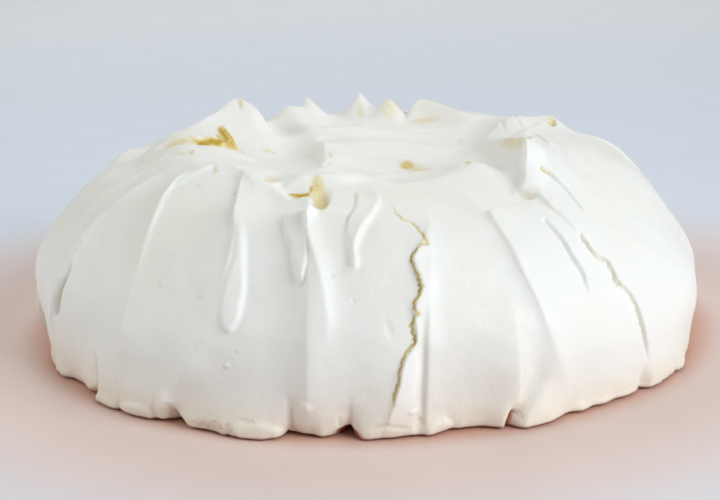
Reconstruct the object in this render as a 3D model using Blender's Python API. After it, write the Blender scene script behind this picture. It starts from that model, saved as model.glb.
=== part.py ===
"""A large round baked meringue shell, resting on z = 0 with its front toward -Y.

Lengths below are in mm, and the finished solid is in metres. Angles are in degrees round the shell:
-90 is the front, 0 the right-hand side and 180 the left-hand side. Arc is the distance up a plain dome
from its foot, over the rim, to the middle of the hollow top. The dome is pushed out and in along its
normal by the ridges, grooves and cracks of the side, and up and down by the folds of the top."""

import bpy
import numpy as np

for item in list(bpy.data.objects):
    bpy.data.objects.remove(item)

MM = 0.001

# Columns round and rows up the fine surface, and the faces that are kept of it
COLUMNS = 720
ROWS = 230
TRIANGLES = 11600

# Points worked out between the stations of each kind of line
PROFILE_SPOTS = 40
RING_SPOTS = 8
LINE_SPOTS = 6
FOLD_SPOTS = 10

# Plain dome: radius and height from the foot, over the brow and the rim, to the middle of the hollow top
PROFILE = (
    (110, 0), (112.5, 3), (113.8, 10), (114.9, 20), (113.2, 30), (108, 40), (100.7, 50), (92.3, 58),
    (82.8, 64), (72.8, 67.5), (64, 68.5), (56, 66.7), (46, 63), (32, 60.6), (16, 60), (0, 60),
)

# Middle of the whole shell, which is set over the origin
MIDDLE = (0.7, 0.87)

# Angle and radius of the foot, wandering in and out round the shell, and how soon that fades up the side
FOOT = (
    (-180, 111), (-168, 109), (-160, 113), (-151, 116), (-143, 114), (-136, 115), (-128, 118),
    (-122, 117), (-114, 120), (-108, 120), (-103, 117), (-98, 115), (-93, 114), (-87, 116), (-78, 113),
    (-73, 114), (-65, 120), (-58, 116), (-48, 116), (-38, 118), (-28, 117), (-14, 112), (0, 111),
    (16, 114), (34, 112), (52, 117), (70, 115), (88, 119), (104, 115), (122, 118), (140, 114),
    (158, 116), (170, 113), (180, 111),
)
FOOT_FADE = 18
FOOT_ROUND = 2.5
FOOT_SNAP = 0.05

# Angle and height added to the rim, which dips at the front and the back, and the arcs of its fade
RIM = (
    (-180, 0.2), (-165, 0.5), (-150, 0), (-135, -1), (-115, -3.5), (-100, -4.5), (-80, -5), (-64, -4),
    (-52, -1), (-38, 1), (-20, 1.5), (-6, 0.5), (8, -0.6), (25, -2.4), (45, -3.6), (75, -4.5), (90, -5),
    (98, -5.8), (105, -6.4), (111, -5.4), (118, -4.2), (124, -7.5), (132, -4), (140, -0.5), (158, -1.4),
    (170, -1.6), (180, 0.2),
)
RIM_FADE = (62, 88, 98, 126)
RIM_ARC = 96

# Fuller and flatter places of the side: angle, arc, half width in degrees, half length and height
SWELLS = {
    "flat left shoulder": (176, 80, 36, 12, -4),
    "full back left shoulder": (165, 66, 9, 7, 2.8),
    "low back left shoulder": (148, 68, 11, 12, -3.2),
    "full ridge foot": (-98, 45, 2.2, 11, 1.1),
    "full left side": (178, 35, 24, 14, 3.3),
    "full right side": (-8, 22, 24, 11, 1.6),
    "flat right side": (-8, 48, 20, 12, -0.8),
    "flat right shoulder": (12, 76, 24, 14, -1.6),
}

# Ridges down the side: angle, arc, height, and how far each reaches to the left and the right.
# Each is rounded on top by a share of its shorter reach, and curls over its steep side.
CREST_ROUND = 0.3
CURL = 0.7
CURL_REACH = 1.5
RIDGES = {
    "far left lip": (
        (-163, 30, 0, 6, 2), (-163.5, 22, 1.6, 6, 2), (-162.5, 14, 1.4, 6, 2), (-162, 6, 0, 6, 2),
    ),
    "left lip": (
        (-150, 60, 0, 4, 1), (-151.3, 47, 1.2, 4, 0.9), (-151.7, 39, 1.8, 4, 0.8), (-150.7, 33, 2, 4, 0.8),
        (-150.9, 28, 2, 4, 0.8), (-152.2, 21, 1.4, 4, 1.2), (-154, 8, 0, 4, 2),
    ),
    "left foot lip": (
        (-138, 24, 0, 2, 5), (-138.5, 14, 0.5, 2, 5), (-138.5, 3, 0.8, 1.5, 5),
        (-138.5, 0, 0.6, 1.5, 5),
    ),
    "first ribbon": (
        (-136.6, 86, 0, 2.4, 0.9), (-137.2, 82.5, 1.2, 2.6, 0.8), (-137.4, 78, 1.6, 2.8, 0.8),
        (-135.6, 71, 1.4, 4, 0.8), (-134, 66, 1.2, 5, 0.8), (-132.6, 56, 1, 6, 0.9),
        (-132, 46, 0.7, 7, 1.2), (-131.6, 36, 0.4, 7, 3), (-131, 20, 0.2, 8, 5), (-133, 6, 0, 8, 5),
    ),
    "second foot lip": (
        (-114, 34, 0, 8, 5), (-116, 25, 0.9, 8, 4), (-120, 14, 1.2, 7, 3), (-123, 5, 2, 5, 1.6),
        (-123.5, 0, 1.4, 4, 1.4),
    ),
    "second ribbon": (
        (-124, 93, 0, 0.6, 5), (-121, 86, 1.2, 0.6, 5), (-118, 78, 1.6, 0.6, 5),
        (-116, 70, 1.7, 0.6, 4), (-114.2, 63, 1.4, 0.7, 3), (-113.6, 57, 1, 0.8, 2),
        (-113.6, 50, 0.5, 1, 1.6), (-113.4, 42, 0, 1, 1.6),
    ),
    "third ridge": (
        (-101.5, 78, 0, 3, 3), (-101, 73.5, 2, 1.2, 2.4), (-100.4, 68, 3.1, 0.8, 2.2),
        (-99.9, 62, 3.2, 1, 2), (-99, 57, 2.9, 1.4, 2), (-97.9, 51, 2.3, 3, 2), (-96.9, 44, 1.6, 4.5, 2),
        (-96.2, 36, 0.8, 5, 2.4), (-96, 28, 0, 5, 3),
    ),
    "third edge": (
        (-99.6, 56, 0, 3, 8), (-99.2, 48, 1.2, 2.6, 8), (-98.8, 36, 1.9, 3, 9), (-98.5, 25, 2, 3.6, 9),
        (-98.8, 13, 1.7, 3.4, 7), (-99.5, 5, 1.3, 2, 4), (-100, 0, 0.6, 2, 4),
    ),
    "curl edge": (
        (-88.4, 95, 0, 2, 0.8), (-87.6, 90, 1.1, 2, 0.8), (-87.4, 84, 1.5, 2.6, 0.8), (-88.2, 79, 1.6, 2.8, 0.8),
        (-89.5, 72, 1.6, 2.6, 0.7), (-91.3, 65, 1.5, 1.6, 0.7), (-92.4, 59, 1.4, 1.2, 0.7),
        (-92, 55, 1.3, 1, 0.7), (-92.5, 52.5, 0.9, 0.9, 0.8), (-94, 51, 0, 1, 1),
    ),
    "crack plate": (
        (-77.5, 74, 0, 1.6, 3), (-78.6, 66, 1.1, 0.8, 3.2), (-79.2, 60, 1.4, 0.6, 3.2),
        (-81.6, 56.5, 1.5, 0.5, 3.4), (-82.2, 53, 1.5, 0.5, 3.4), (-81.2, 45.5, 1.5, 0.5, 3.2),
        (-82.4, 41, 1.5, 0.5, 3.2), (-82.8, 36, 1.5, 0.5, 3), (-82.8, 30, 1.6, 0.5, 2.8),
        (-84.6, 25, 1.6, 0.5, 3), (-85.6, 17, 1.5, 0.5, 3.2), (-86.8, 10, 1.1, 0.7, 3), (-88, 2, 0, 2, 3),
    ),
    "trough side": (
        (-68, 44, 0, 9, 3), (-68.2, 33, 0.7, 9, 3), (-68.5, 20, 1.1, 9, 2.6), (-68.2, 6, 1.4, 7, 2),
        (-68, 0, 1, 5, 2),
    ),
    "right flap": (
        (-65, 73, 0, 1, 8), (-65.2, 69.5, 1, 1, 10), (-65.2, 64, 1.3, 1.3, 13), (-64.8, 57.5, 1.5, 1.7, 14),
        (-64.2, 48, 1.6, 2.1, 14), (-63.3, 39, 1.6, 2.5, 14), (-62.7, 31, 1.5, 3, 14),
        (-61.8, 23, 1.3, 4, 13), (-60.4, 14, 1, 5, 12), (-59, 6, 0.5, 5, 10), (-58, 0, 0, 5, 10),
    ),
    "flap edge": (
        (-56.5, 80, 0, 0.8, 8), (-55, 77.5, 1, 0.7, 8), (-53.4, 74.5, 1.3, 0.7, 8), (-52.2, 71, 1.2, 0.7, 8),
        (-51.8, 66.5, 1, 0.7, 8), (-51.2, 63.5, 0.9, 0.7, 8), (-50.6, 60, 0.7, 0.7, 8),
        (-50, 55, 0.4, 0.7, 8), (-49.5, 50, 0, 0.7, 8),
    ),
    "right foot lip": ((-40, 14, 0, 2, 4), (-41.5, 6, 1, 1.6, 4), (-42, 0, 1, 1.6, 4)),
}

# Grooves and notches down the side, in the same measures with a depth in place of the height
GROOVES = {
    "far left slit": (
        (-152.8, 29, 0, 0.8, 0.8), (-153.4, 25, 1.4, 0.9, 0.9), (-154, 20, 1.8, 1, 1),
        (-155, 14, 1.2, 1, 1), (-156, 9, 0, 1, 1),
    ),
    "left slit": (
        (-151, 39, 0, 0.8, 0.8), (-149.5, 35, 1.8, 1, 1), (-148.7, 32, 2.6, 1.1, 1.2),
        (-148.9, 28, 2.4, 1.1, 1.2), (-150, 24, 1.6, 0.9, 1), (-151, 20, 0, 0.8, 0.8),
    ),
    "left foot notch": (
        (-139.5, 18, 0, 1, 1), (-139.8, 10, 1, 1.1, 1.1), (-140, 3, 1.8, 1.3, 1.3),
        (-140.2, 0, 2.2, 1.6, 1.4),
    ),
    "second foot notch": (
        (-120, 9, 0, 2, 2), (-121, 4.5, 2.6, 1.8, 3), (-121, 1.5, 5, 2.2, 5), (-120.6, 0, 5.5, 2.6, 6),
    ),
    "third foot notch": (
        (-102, 20, 0, 4, 2), (-102.4, 8, 1.6, 4, 2), (-102.8, 2, 3.4, 3, 2), (-103, 0, 4, 3, 2),
    ),
    "front foot notch": (
        (-93.5, 12, 0, 3, 3), (-93.3, 4, 1.6, 4, 3), (-93.2, 1.5, 5, 4.5, 2.4), (-93.2, 0, 6, 4.5, 2.2),
    ),
    "plate groove": (
        (-81, 36, 0, 1.2, 1), (-81.6, 30, 1, 1.2, 0.9), (-81.9, 20, 1.5, 1.3, 0.9),
        (-81.9, 8, 1.4, 1.2, 0.9), (-81.7, 0, 1, 1, 0.9),
    ),
    "trough": (
        (-64.8, 30, 0, 4, 4), (-64.9, 22, 0.8, 4, 4), (-64.8, 16, 1.4, 3.4, 3.6), (-65.2, 9, 2, 2.6, 3),
        (-66.6, 4, 3, 1.8, 2.4), (-67.6, 1, 4, 1.6, 2.4), (-68, 0, 4.5, 1.6, 2.6),
    ),
    "right foot notch": ((-43, 10, 0, 1.4, 1.4), (-43.4, 3, 1.8, 1.6, 1.4), (-43.6, 0, 2.6, 2, 1.6)),
}

# Jagged cracks: angle, arc, depth and half width of the opening. Each is broken into short steps that
# are thrown to one side.
MM_PER_DEGREE = 1.8
JAG_STEP = 1.3
JAG_THROW = 0.4
CRACK_REACH = 40
CRACKS = {
    "front crack": (
        (-84.9, 86, 0, 0.3), (-84.3, 76.5, 0.7, 0.3), (-83.4, 71, 0.8, 0.35), (-81.9, 69, 0.9, 0.35),
        (-81, 66.5, 1, 0.35), (-80.1, 62, 1, 0.35), (-79.5, 59.5, 1, 0.4), (-80.8, 58.4, 1, 0.4),
        (-82.4, 56.5, 1.1, 0.45), (-82.8, 54.5, 1.2, 0.45), (-82.4, 52, 1.2, 0.5), (-81.8, 49, 1.3, 0.5),
        (-81.6, 45.5, 1.3, 0.5), (-82.2, 43.5, 1.3, 0.5), (-83.1, 41.5, 1.3, 0.5), (-82.5, 38.5, 1.3, 0.5),
        (-83.6, 36.5, 1.3, 0.45), (-84, 35, 1.3, 0.45), (-83.7, 33, 1.3, 0.45), (-83.1, 30, 1.3, 0.45),
        (-84.7, 28, 1.2, 0.4), (-85.2, 26, 1.2, 0.4), (-85.2, 24, 1.2, 0.4), (-85.8, 20.5, 1.1, 0.4),
        (-86.2, 16.5, 1.1, 0.35), (-86.7, 14.5, 1, 0.35), (-86.4, 12, 0.9, 0.35), (-87.3, 9.5, 0, 0.3),
    ),
    "right crack": (
        (-49.8, 56, 0, 0.3), (-49.8, 53, 0.8, 0.3), (-49.5, 50, 0.8, 0.3), (-48.4, 46.5, 0.8, 0.3),
        (-47.1, 44.5, 0.8, 0.3), (-46.8, 41.5, 0.8, 0.3), (-46.9, 37.5, 0.8, 0.3),
        (-45.6, 35.5, 0.8, 0.3), (-44.4, 32, 0.8, 0.3), (-44, 28, 0.8, 0.3), (-43.8, 24.5, 0.8, 0.3),
        (-43.5, 19.5, 0.8, 0.3), (-42.9, 16, 0.7, 0.3), (-42.2, 11, 0, 0.3),
    ),
}

# Fine slits, in the same measures, which run smoothly
SLITS = {
    "right slit": (
        (-55, 64, 0, 0.25), (-54.9, 61.5, 0.5, 0.25), (-54, 55.5, 0.6, 0.3), (-53.7, 49, 0.6, 0.3),
        (-53.1, 43.5, 0.5, 0.3), (-53.4, 40, 0.4, 0.25), (-53.8, 36, 0, 0.25),
    ),
    "upper right slit": (
        (-48.8, 79, 0, 0.5), (-48.3, 77.5, 0.8, 0.6), (-47.1, 75.5, 0.9, 0.6), (-46.5, 73, 0.7, 0.45),
        (-45.9, 70, 0.5, 0.35), (-45.7, 67, 0.4, 0.3), (-45.6, 63.5, 0.3, 0.3), (-45.6, 61, 0, 0.3),
    ),
    "left crease": (
        (-152, 96.5, 0, 0.5), (-153, 94.5, 1, 0.6), (-155.4, 91.5, 1, 0.6), (-157.8, 88.5, 0.8, 0.5),
        (-161, 85, 0.6, 0.5), (-163, 80, 0, 0.5),
    ),
    "curl slit": (
        (-92.9, 93, 0, 0.5), (-92.6, 88, 0.5, 0.5), (-92.4, 80, 0.7, 0.5), (-92.9, 75, 0.7, 0.5),
        (-93.8, 69.5, 0.7, 0.5), (-93.8, 63, 0.6, 0.5), (-93, 58, 0.4, 0.4), (-93.6, 53, 0, 0.4),
    ),
}

# Raised tongues of meringue: left edge, right edge, thickness and softness of the edge
TONGUE_ROOT = 4
TONGUES = {
    "second ribbon end": (
        ((-114.4, 68), (-113.2, 60), (-112.6, 53), (-112.9, 46), (-112.9, 40), (-112.6, 36), (-111.8, 32)),
        ((-114, 68), (-112, 60), (-110.9, 53), (-110, 46), (-109.8, 40), (-109.9, 36), (-110.6, 32)),
        1.2, 0.9,
    ),
    "hanging drip": (
        ((-107, 76), (-106, 70), (-104.6, 63), (-103.2, 59), (-102.4, 54), (-101.5, 50), (-100.8, 47)),
        ((-99, 76), (-100, 70), (-100.4, 63), (-100.2, 59), (-100.1, 54), (-100.3, 50), (-100.6, 47)),
        2, 1,
    ),
    "curl": (
        ((-92.7, 93), (-92.5, 84), (-92.9, 75), (-94, 68), (-94, 62), (-93.3, 58), (-93, 53)),
        ((-88.4, 93), (-87.4, 84), (-88.8, 75), (-90.6, 68), (-92, 62), (-92.3, 58), (-92, 53)),
        0.9, 0.7,
    ),
}

# Panels between the strokes: lines of angle and arc from left to right, how far the panel after each
# is hollowed, and the arcs between which the hollows start and fade
PANEL_LINES = (
    ((-162, 0), (-163, 20), (-160, 50), (-158, 95)),
    ((-155, 0), (-154, 20), (-151, 45), (-150, 60), (-147, 95)),
    ((-134, 0), (-131, 20), (-131.5, 44), (-133.5, 62), (-138, 81), (-132, 95)),
    ((-121, 0), (-117, 22), (-113.5, 36), (-113.5, 56), (-116, 70), (-124, 95)),
    ((-100, 0), (-98.5, 25), (-99.2, 48), (-100.4, 68), (-102, 95)),
    ((-81.7, 0), (-81.8, 23), (-80.4, 45), (-79, 59), (-77, 76), (-75, 95)),
    ((-58, 0), (-61.4, 24), (-62.8, 42), (-65.3, 65), (-68, 95)),
    ((-39, 0), (-44, 28), (-47, 45), (-50, 60), (-50, 95)),
)
PANEL_HOLLOWS = (0.8, 1.2, 1.8, 2, 0.6, 1, 0.3, 0.4)
PANEL_FADE = (3, 20, 72, 92)

# Uneven strokes of the back, between these angles
BACK_SEED = 11
BACK_FROM = 14
BACK_TO = 160

# Folds of the crown, drawn in plan: x, y, height, and how far each reaches to the left and the right
# of its run. The crown's shapes come in between these arcs.
CROWN_START = (54, 68)
FOLD_REACH = 5
FOLDS = {
    "right flap": (
        (48.4, -70.5, 0, 1, 7), (49.4, -66.5, 3, 1, 9), (50.2, -61, 6.4, 1, 11), (50.8, -54.5, 8.4, 1, 13),
        (51, -46, 6.6, 1.2, 13), (50, -35, 4.6, 1.6, 12), (48.4, -25, 4.4, 2, 11), (45.5, -13, 4.8, 2.4, 10),
        (42, -5, 3.6, 3, 9), (37, 3, 0, 4, 8),
    ),
    "right brow": (
        (40, -4, 0, 4, 6), (46, 1, 2.6, 4, 6), (52, 3, 2.8, 4, 6), (58, 4, 2, 4, 6), (65, 4, 2, 3, 7),
        (73, 7, 0, 3, 7),
    ),
    "flap top": (
        (37.4, -84, 0, 2, 6), (39.4, -80.5, 1.2, 1, 7), (43, -77.5, 1.2, 1.6, 8), (48, -75, 0.8, 2, 8),
        (54, -74, 0, 2, 8),
    ),
    "left slab edge": (
        (-80, -12, 0, 8, 2), (-72, -14, 1.2, 10, 0.8), (-62, -15.5, 1.8, 12, 0.6),
        (-56, -13.6, 2.2, 12, 0.6), (-51, -9.8, 2.4, 12, 0.6), (-47, -4, 2.4, 12, 0.7),
        (-46.8, 4, 2.6, 12, 0.8), (-49.6, 14, 2.6, 11, 1), (-52, 24, 1.6, 9, 2), (-50, 34, 0, 8, 3),
    ),
    "left peak side": (
        (-66, 8, 0, 6, 6), (-60, 20, 2, 5, 6), (-56, 28, 3.4, 4.5, 5), (-52, 36, 3.6, 5, 5),
        (-47, 46, 0, 6, 5),
    ),
    "left peak shoulder": (
        (-47, 50, 0, 3, 4), (-43.6, 47, 2, 2, 4), (-40.6, 43.4, 2.6, 1.6, 4), (-38, 39, 2.4, 1.4, 4),
        (-36, 34, 1, 1.4, 3), (-34.6, 29, 0, 2, 3),
    ),
    "front ledge": (
        (-26, -68, 0, 8, 1.5), (-21, -67, 2.6, 9, 1.2), (-15, -66, 3.8, 9, 1.2), (-8, -64.5, 4.4, 9, 1.4),
        (-2, -62, 4, 9, 1.8), (4, -60, 2, 9, 2.5), (10, -58, 0, 8, 3),
    ),
    "front left band": (
        (-70, -18, 0, 4, 9), (-60, -24, 0.8, 3, 9), (-50, -32, 1.2, 3, 9), (-38, -42, 1.4, 4, 9),
        (-29, -51, 1.6, 4, 8), (-21, -64, 1.6, 3, 6), (-16, -74, 0, 3, 5),
    ),
    "first ribbon top": (
        (-63, -60, 0, 3, 1), (-57.5, -55.5, 1.2, 3, 0.8), (-53, -53, 1.8, 4, 0.8), (-48.4, -51.2, 2, 4, 0.8),
        (-43.3, -52.9, 2, 4, 0.8), (-38.5, -59, 1.6, 4, 0.8), (-35.5, -64, 0.8, 3, 1), (-33, -70, 0, 3, 1),
    ),
    "front left slab": (
        (-40, -57, 0, 2, 4), (-36, -60, 0.8, 2.4, 4), (-30, -67, 1.3, 3, 2.4), (-25, -74, 1.7, 4, 1),
        (-19, -76, 1.5, 4, 0.8), (-15.5, -79, 0, 2, 2),
    ),
    "bowl edge": (
        (-12, -32, 0, 5, 10), (-13, -24, 2.4, 3, 10), (-14, -12, 3.6, 2, 10), (-14.6, -3, 4.4, 1.4, 11),
        (-15, 5, 4.8, 1.6, 11), (-17, 15, 3.8, 5, 12), (-20, 36, 2.6, 7, 12), (-25, 54, 1.4, 7, 9),
        (-30, 64, 0, 6, 8),
    ),
    "front swirl": (
        (-4, -52, 0, 8, 9), (8, -50, 0.5, 7, 10), (22, -49, 0.6, 6, 10), (32, -42, 0, 6, 8),
    ),
    "hollow back": (
        (-6, -6, 0, 9, 3), (4, -8, 1, 9, 3), (14, -11.5, 1.7, 9, 2.6), (23, -18, 1.2, 9, 3),
        (31, -28, 0, 8, 4),
    ),
    "right swirl": (
        (26, -58, 0, 4, 6), (30, -48, 0.8, 3.4, 6), (33, -38, 1.3, 3, 6), (33, -27, 0.8, 4, 6),
        (29, -16, 0, 4, 6),
    ),
    "right swirl branch": (
        (31, -38, 0, 3, 4), (35, -46, 0.8, 3, 4), (39, -56, 0.8, 3, 4), (43, -66, 0, 3, 4),
    ),
    "middle swirl": (
        (-10, 22, 0, 7, 6), (0, 12, 1.4, 7, 4), (11, 8, 2, 7, 3.4), (22, 2, 1.8, 7, 4),
        (36, 6, 0, 6, 5),
    ),
    "back swirl": (
        (-20, 46, 0, 5, 7), (-6, 36, 1.2, 5, 8), (10, 34, 1.4, 6, 8), (26, 32, 1.2, 6, 7),
        (42, 26, 0, 5, 6),
    ),
    "back lip": (
        (16.4, 52.6, 0, 3, 2), (19.4, 51.8, 5.6, 4, 1.4), (23, 51.2, 7, 4, 1.2), (29, 48.5, 5.4, 4, 1.4),
        (37, 43, 2.4, 4, 2), (44, 38, 0, 4, 3),
    ),
    "loop": (
        (53, -30, 0, 2, 2), (54, -20, 1, 1.6, 2), (57, -12, 1.4, 1.6, 2), (61, -6, 1, 1.6, 2),
        (64, 0, 0, 2, 2),
    ),
}

# Mounds and hollows of the crown: x, y, half width, half length, turn in degrees and height
MOUNDS = {
    "left slab": (-45, -16, 8, 6, 0, 2.6),
    "left bowl": (-27, 16, 12, 26, 8, -4),
    "golden hollow": (13, -24, 16, 12, -14, -1.9),
    "right scoop": (44, -40, 7, 21, 4, -4.5),
    "right plateau": (51, 10, 9, 14, 0, 4.5),
    "bump": (-11, -12, 4, 7, 0, 1.2),
    "front shelf": (6, -60, 22, 7, 0, 0.8),
    "left peak": (-46.5, 44, 8, 9, 30, 5.2),
    "back left lump": (-29, 54, 7, 5, -10, 3.6),
    "tall peak base": (-1, 60, 5.6, 5, 0, 4.6),
    "round lump": (9.6, 54, 5, 4.5, 0, 7),
    "back left peak base": (-19.5, 59, 5, 5, 0, 4.4),
    "right tip base": (66, 2, 6, 6, 0, 1.8),
}

# Sharp little peaks: x, y, radius at the base, height, and how far the tip leans in x and y
PEAK_POINT = 1.6
PEAK_BEND = 2
PEAKS = {
    "back left peak": (-20.5, 61, 3.2, 5, -2.4, 0),
    "tall peak": (-1, 61, 4.4, 4.4, -0.5, 0),
    "right tip": (65, 0, 3.4, 1.6, 1, 0),
}

# Broken-out spots and small holes of the crown, in the same measures as the mounds with a depth.
# The wall of each lies between these shares of its size.
PIT_WALL = (0.4, 1.2)
PITS = {
    "front break": (-14.8, -75, 3.2, 9, -8, 2.6),
    "front break line": (-20.5, -74.2, 4.6, 1.3, 6, 1.2),
    "left break corner": (-44.5, 0, 2, 6, 10, 0.6),
    "left loop": (-46.5, 39, 1.4, 3, 0, 1),
    "right pinhole": (35, -16, 1.5, 2.2, 0, 1.6),
    "back pinhole": (35, 13, 1.2, 2, 0, 1),
    "bump pinhole": (-13, -22, 1.4, 3, 0, 1),
    "facet dimple": (-30, -62.5, 3.4, 2.6, 30, 0.8),
}

# Thin creases of the crown, drawn in plan: x, y, depth and half width
CREASES = {
    "left break": (
        (-71, -16, 0, 0.8), (-62, -17.2, 0.6, 0.8), (-55.6, -15.2, 0.9, 0.8), (-50, -10.8, 1, 0.8),
        (-45.6, -4.6, 0.9, 0.8), (-45.4, 4, 0.5, 0.8), (-47.6, 12, 0, 0.8),
    ),
    "flap curl": (
        (51.5, -44, 0, 0.4), (54, -35, 0.9, 0.5), (57.4, -24, 1, 0.5), (60.5, -15, 0.9, 0.5),
        (62.6, -15, 1, 0.5), (63, -26, 1, 0.5), (63.4, -36, 0.7, 0.5), (64, -44, 0, 0.4),
    ),
    "tip loop": (
        (49, -6, 0, 0.4), (48.6, 0, 0.8, 0.5), (50, 6, 0.9, 0.5), (53, 6, 0.8, 0.5), (54.5, -2, 0.8, 0.5),
        (56, -12, 0, 0.4),
    ),
}

# Wavelength and size of the general unevenness, made of this many waves
RIPPLES = ((42, 0.5), (17, 0.09), (8, 0.03))
WAVES = 14

MERINGUE_COLOR = (0.84, 0.83, 0.79, 1)
MERINGUE_ROUGHNESS = 0.55
SHARP_EDGE = 60


def spline(stations, spots):
    """Rows of numbers along a smooth curve through the stations."""
    rows = np.array(stations, float)
    ends = np.vstack([2 * rows[0] - rows[1], rows, 2 * rows[-1] - rows[-2]])
    t = np.linspace(0, 1, spots, endpoint=False)[:, None]
    pieces = []
    for a, b, c, d in zip(ends, ends[1:], ends[2:], ends[3:]):
        cubic = (3 * b - a - 3 * c + d) * t**3
        square = (2 * a - 5 * b + 4 * c - d) * t**2
        pieces.append(0.5 * (2 * b + (c - a) * t + square + cubic))
    return np.vstack([*pieces, rows[-1:]])


def rise(low, high, value):
    """0 below low, 1 above high, and smooth between."""
    t = np.clip((value - low) / (high - low), 0, 1)
    return t * t * (3 - 2 * t)


def turned(degrees):
    """The same angle between -180 and 180."""
    return (degrees + 180) % 360 - 180


def dome_run():
    """The dome's profile as a fine curve, with the arc at each of its points."""
    curve = spline(PROFILE, PROFILE_SPOTS)
    steps = np.hypot(*np.diff(curve, axis=0).T)
    return curve, np.concatenate([[0], np.cumsum(steps)])


def plain_dome(arc):
    """Radius, height, and outward normal (radial and upward) of the plain dome at each arc."""
    curve, run = dome_run()
    radius = np.interp(arc, run, curve[:, 0])
    height = np.interp(arc, run, curve[:, 1])
    slope_r = np.gradient(radius, arc)
    slope_z = np.gradient(height, arc)
    length = np.hypot(slope_r, slope_z)
    return radius, height, slope_z / length, -slope_r / length


def ring(stations, angle):
    """A value that varies smoothly all the way round."""
    rows = spline(stations, RING_SPOTS)
    return np.interp(turned(angle), rows[:, 0], rows[:, 1])


def side_gap(line, angle, arc, radius):
    """Distance to the right of a line down the side, square to the line."""
    rows = line[np.argsort(line[:, 1])]
    middle = np.interp(arc, rows[:, 1], rows[:, 0])
    slope = np.interp(arc, rows[:, 1], np.gradient(rows[:, 0], rows[:, 1]))
    across = np.radians(turned(angle - middle)) * radius
    return across / np.hypot(1, np.radians(slope) * radius)


def at_arc(line, arc, column):
    rows = line[np.argsort(line[:, 1])]
    return np.interp(arc, rows[:, 1], rows[:, column])


def crest(gap, left, right):
    """1 on the line, falling away over the reach on either side, and rounded off at the top."""
    reach = np.where(gap < 0, left, right)
    blunt = CREST_ROUND * np.minimum(left, right)
    return np.exp(-(np.hypot(gap, blunt) - blunt) / reach)


def ridge_height(stations, angle, arc, radius):
    """Height of a ridge, and how far it leans over its steep side."""
    line = spline(stations, LINE_SPOTS)
    gap = side_gap(line, angle, arc, radius)
    left = at_arc(line, arc, 3)
    right = at_arc(line, arc, 4)
    height = np.maximum(at_arc(line, arc, 2), 0) * crest(gap, left, right)
    steepness = (left - right) / (left + right)
    return height, CURL * height * steepness * crest(gap, CURL_REACH, CURL_REACH)


def groove_depth(stations, angle, arc, radius):
    line = spline(stations, LINE_SPOTS)
    gap = side_gap(line, angle, arc, radius)
    reach = np.where(gap < 0, at_arc(line, arc, 3), at_arc(line, arc, 4))
    return np.maximum(at_arc(line, arc, 2), 0) * np.exp(-((gap / reach) ** 2))


def jagged(stations, seed):
    """The line broken into short uneven steps, each thrown a little to one side."""
    chance = np.random.default_rng(seed)
    stations = np.array(stations, float)
    rows = [stations[0]]
    for start, end in zip(stations, stations[1:]):
        run = np.hypot((end[0] - start[0]) * MM_PER_DEGREE, end[1] - start[1])
        count = max(1, round(run / JAG_STEP))
        for part in range(1, count + 1):
            row = start + (end - start) * part / count
            row[0] += chance.uniform(-JAG_THROW, JAG_THROW) / MM_PER_DEGREE
            row[1] += chance.uniform(-JAG_THROW, JAG_THROW)
            rows.append(row)
    return np.array(rows)


def crack_depth(line, angle, arc, radius):
    """Depth of a narrow opening along a line of angle, arc, depth and half width."""
    centre = line[:, 0].mean()
    across = np.radians(turned(angle - centre)) * radius
    line_radius = np.interp(line[:, 1], arc[:, 0], radius[:, 0])
    unrolled = np.stack([np.radians(line[:, 0] - centre) * line_radius, line[:, 1]], 1)
    near = np.abs(across) < CRACK_REACH
    gap, place = plan_gap(unrolled, across[near], arc[near])
    number = np.arange(len(line))
    depth = np.maximum(np.interp(place, number, line[:, 2]), 0)
    half_width = np.interp(place, number, line[:, 3])
    total = np.zeros_like(across)
    total[near] = depth * np.exp(-((gap / half_width) ** 2))
    return total


def tongue_height(left_edge, right_edge, thickness, soft, angle, arc, radius):
    left = spline(left_edge, LINE_SPOTS)
    right = spline(right_edge, LINE_SPOTS)
    inside_left = rise(-soft, soft, side_gap(left, angle, arc, radius))
    inside_right = rise(-soft, soft, -side_gap(right, angle, arc, radius))
    tip = rise(left[-1, 1] - soft, left[-1, 1] + soft, arc)
    root = 1 - rise(left[0, 1] - TONGUE_ROOT, left[0, 1], arc)
    return thickness * inside_left * inside_right * tip * root


def back_strokes():
    """Uneven ridges for the back of the shell, in the manner of the front ones."""
    chance = np.random.default_rng(BACK_SEED)
    angle = BACK_FROM
    strokes = []
    while angle < BACK_TO:
        lean = chance.uniform(-5, 5)
        top = chance.uniform(74, 92)
        foot = chance.uniform(0, 14)
        height = chance.uniform(1.2, 3)
        steep = chance.uniform(1.2, 2.4)
        easy = chance.uniform(5, 13)
        left, right = (steep, easy) if chance.random() < 0.7 else (easy, steep)
        bend = chance.uniform(-2.5, 2.5)
        strokes.append(
            (
                (angle + lean, top, 0, left, right),
                (angle + 0.8 * lean, 0.86 * top, height, left, right),
                (angle + 0.4 * lean + bend, 0.55 * top, 0.9 * height, left, right),
                (angle + bend, 0.3 * top + foot, 0.7 * height, 1.4 * left, right),
                (angle - 0.3 * lean, foot, 0, 1.6 * left, right),
            )
        )
        angle += chance.uniform(13, 23)
    return strokes


def panel_lines():
    """Every panel line from the left round to the right again, with the hollow after each."""
    lines = [np.array(line, float) for line in PANEL_LINES]
    for stroke in back_strokes():
        rows = np.array(stroke)[::-1, :2]
        lines.append(np.array([(rows[0, 0], 0), *rows[1:], (rows[-1, 0], RIM_ARC)]))
    chance = np.random.default_rng(BACK_SEED)
    hollows = [*PANEL_HOLLOWS, *chance.uniform(0.6, 1.8, len(lines) - len(PANEL_HOLLOWS))]
    return lines, hollows


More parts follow.
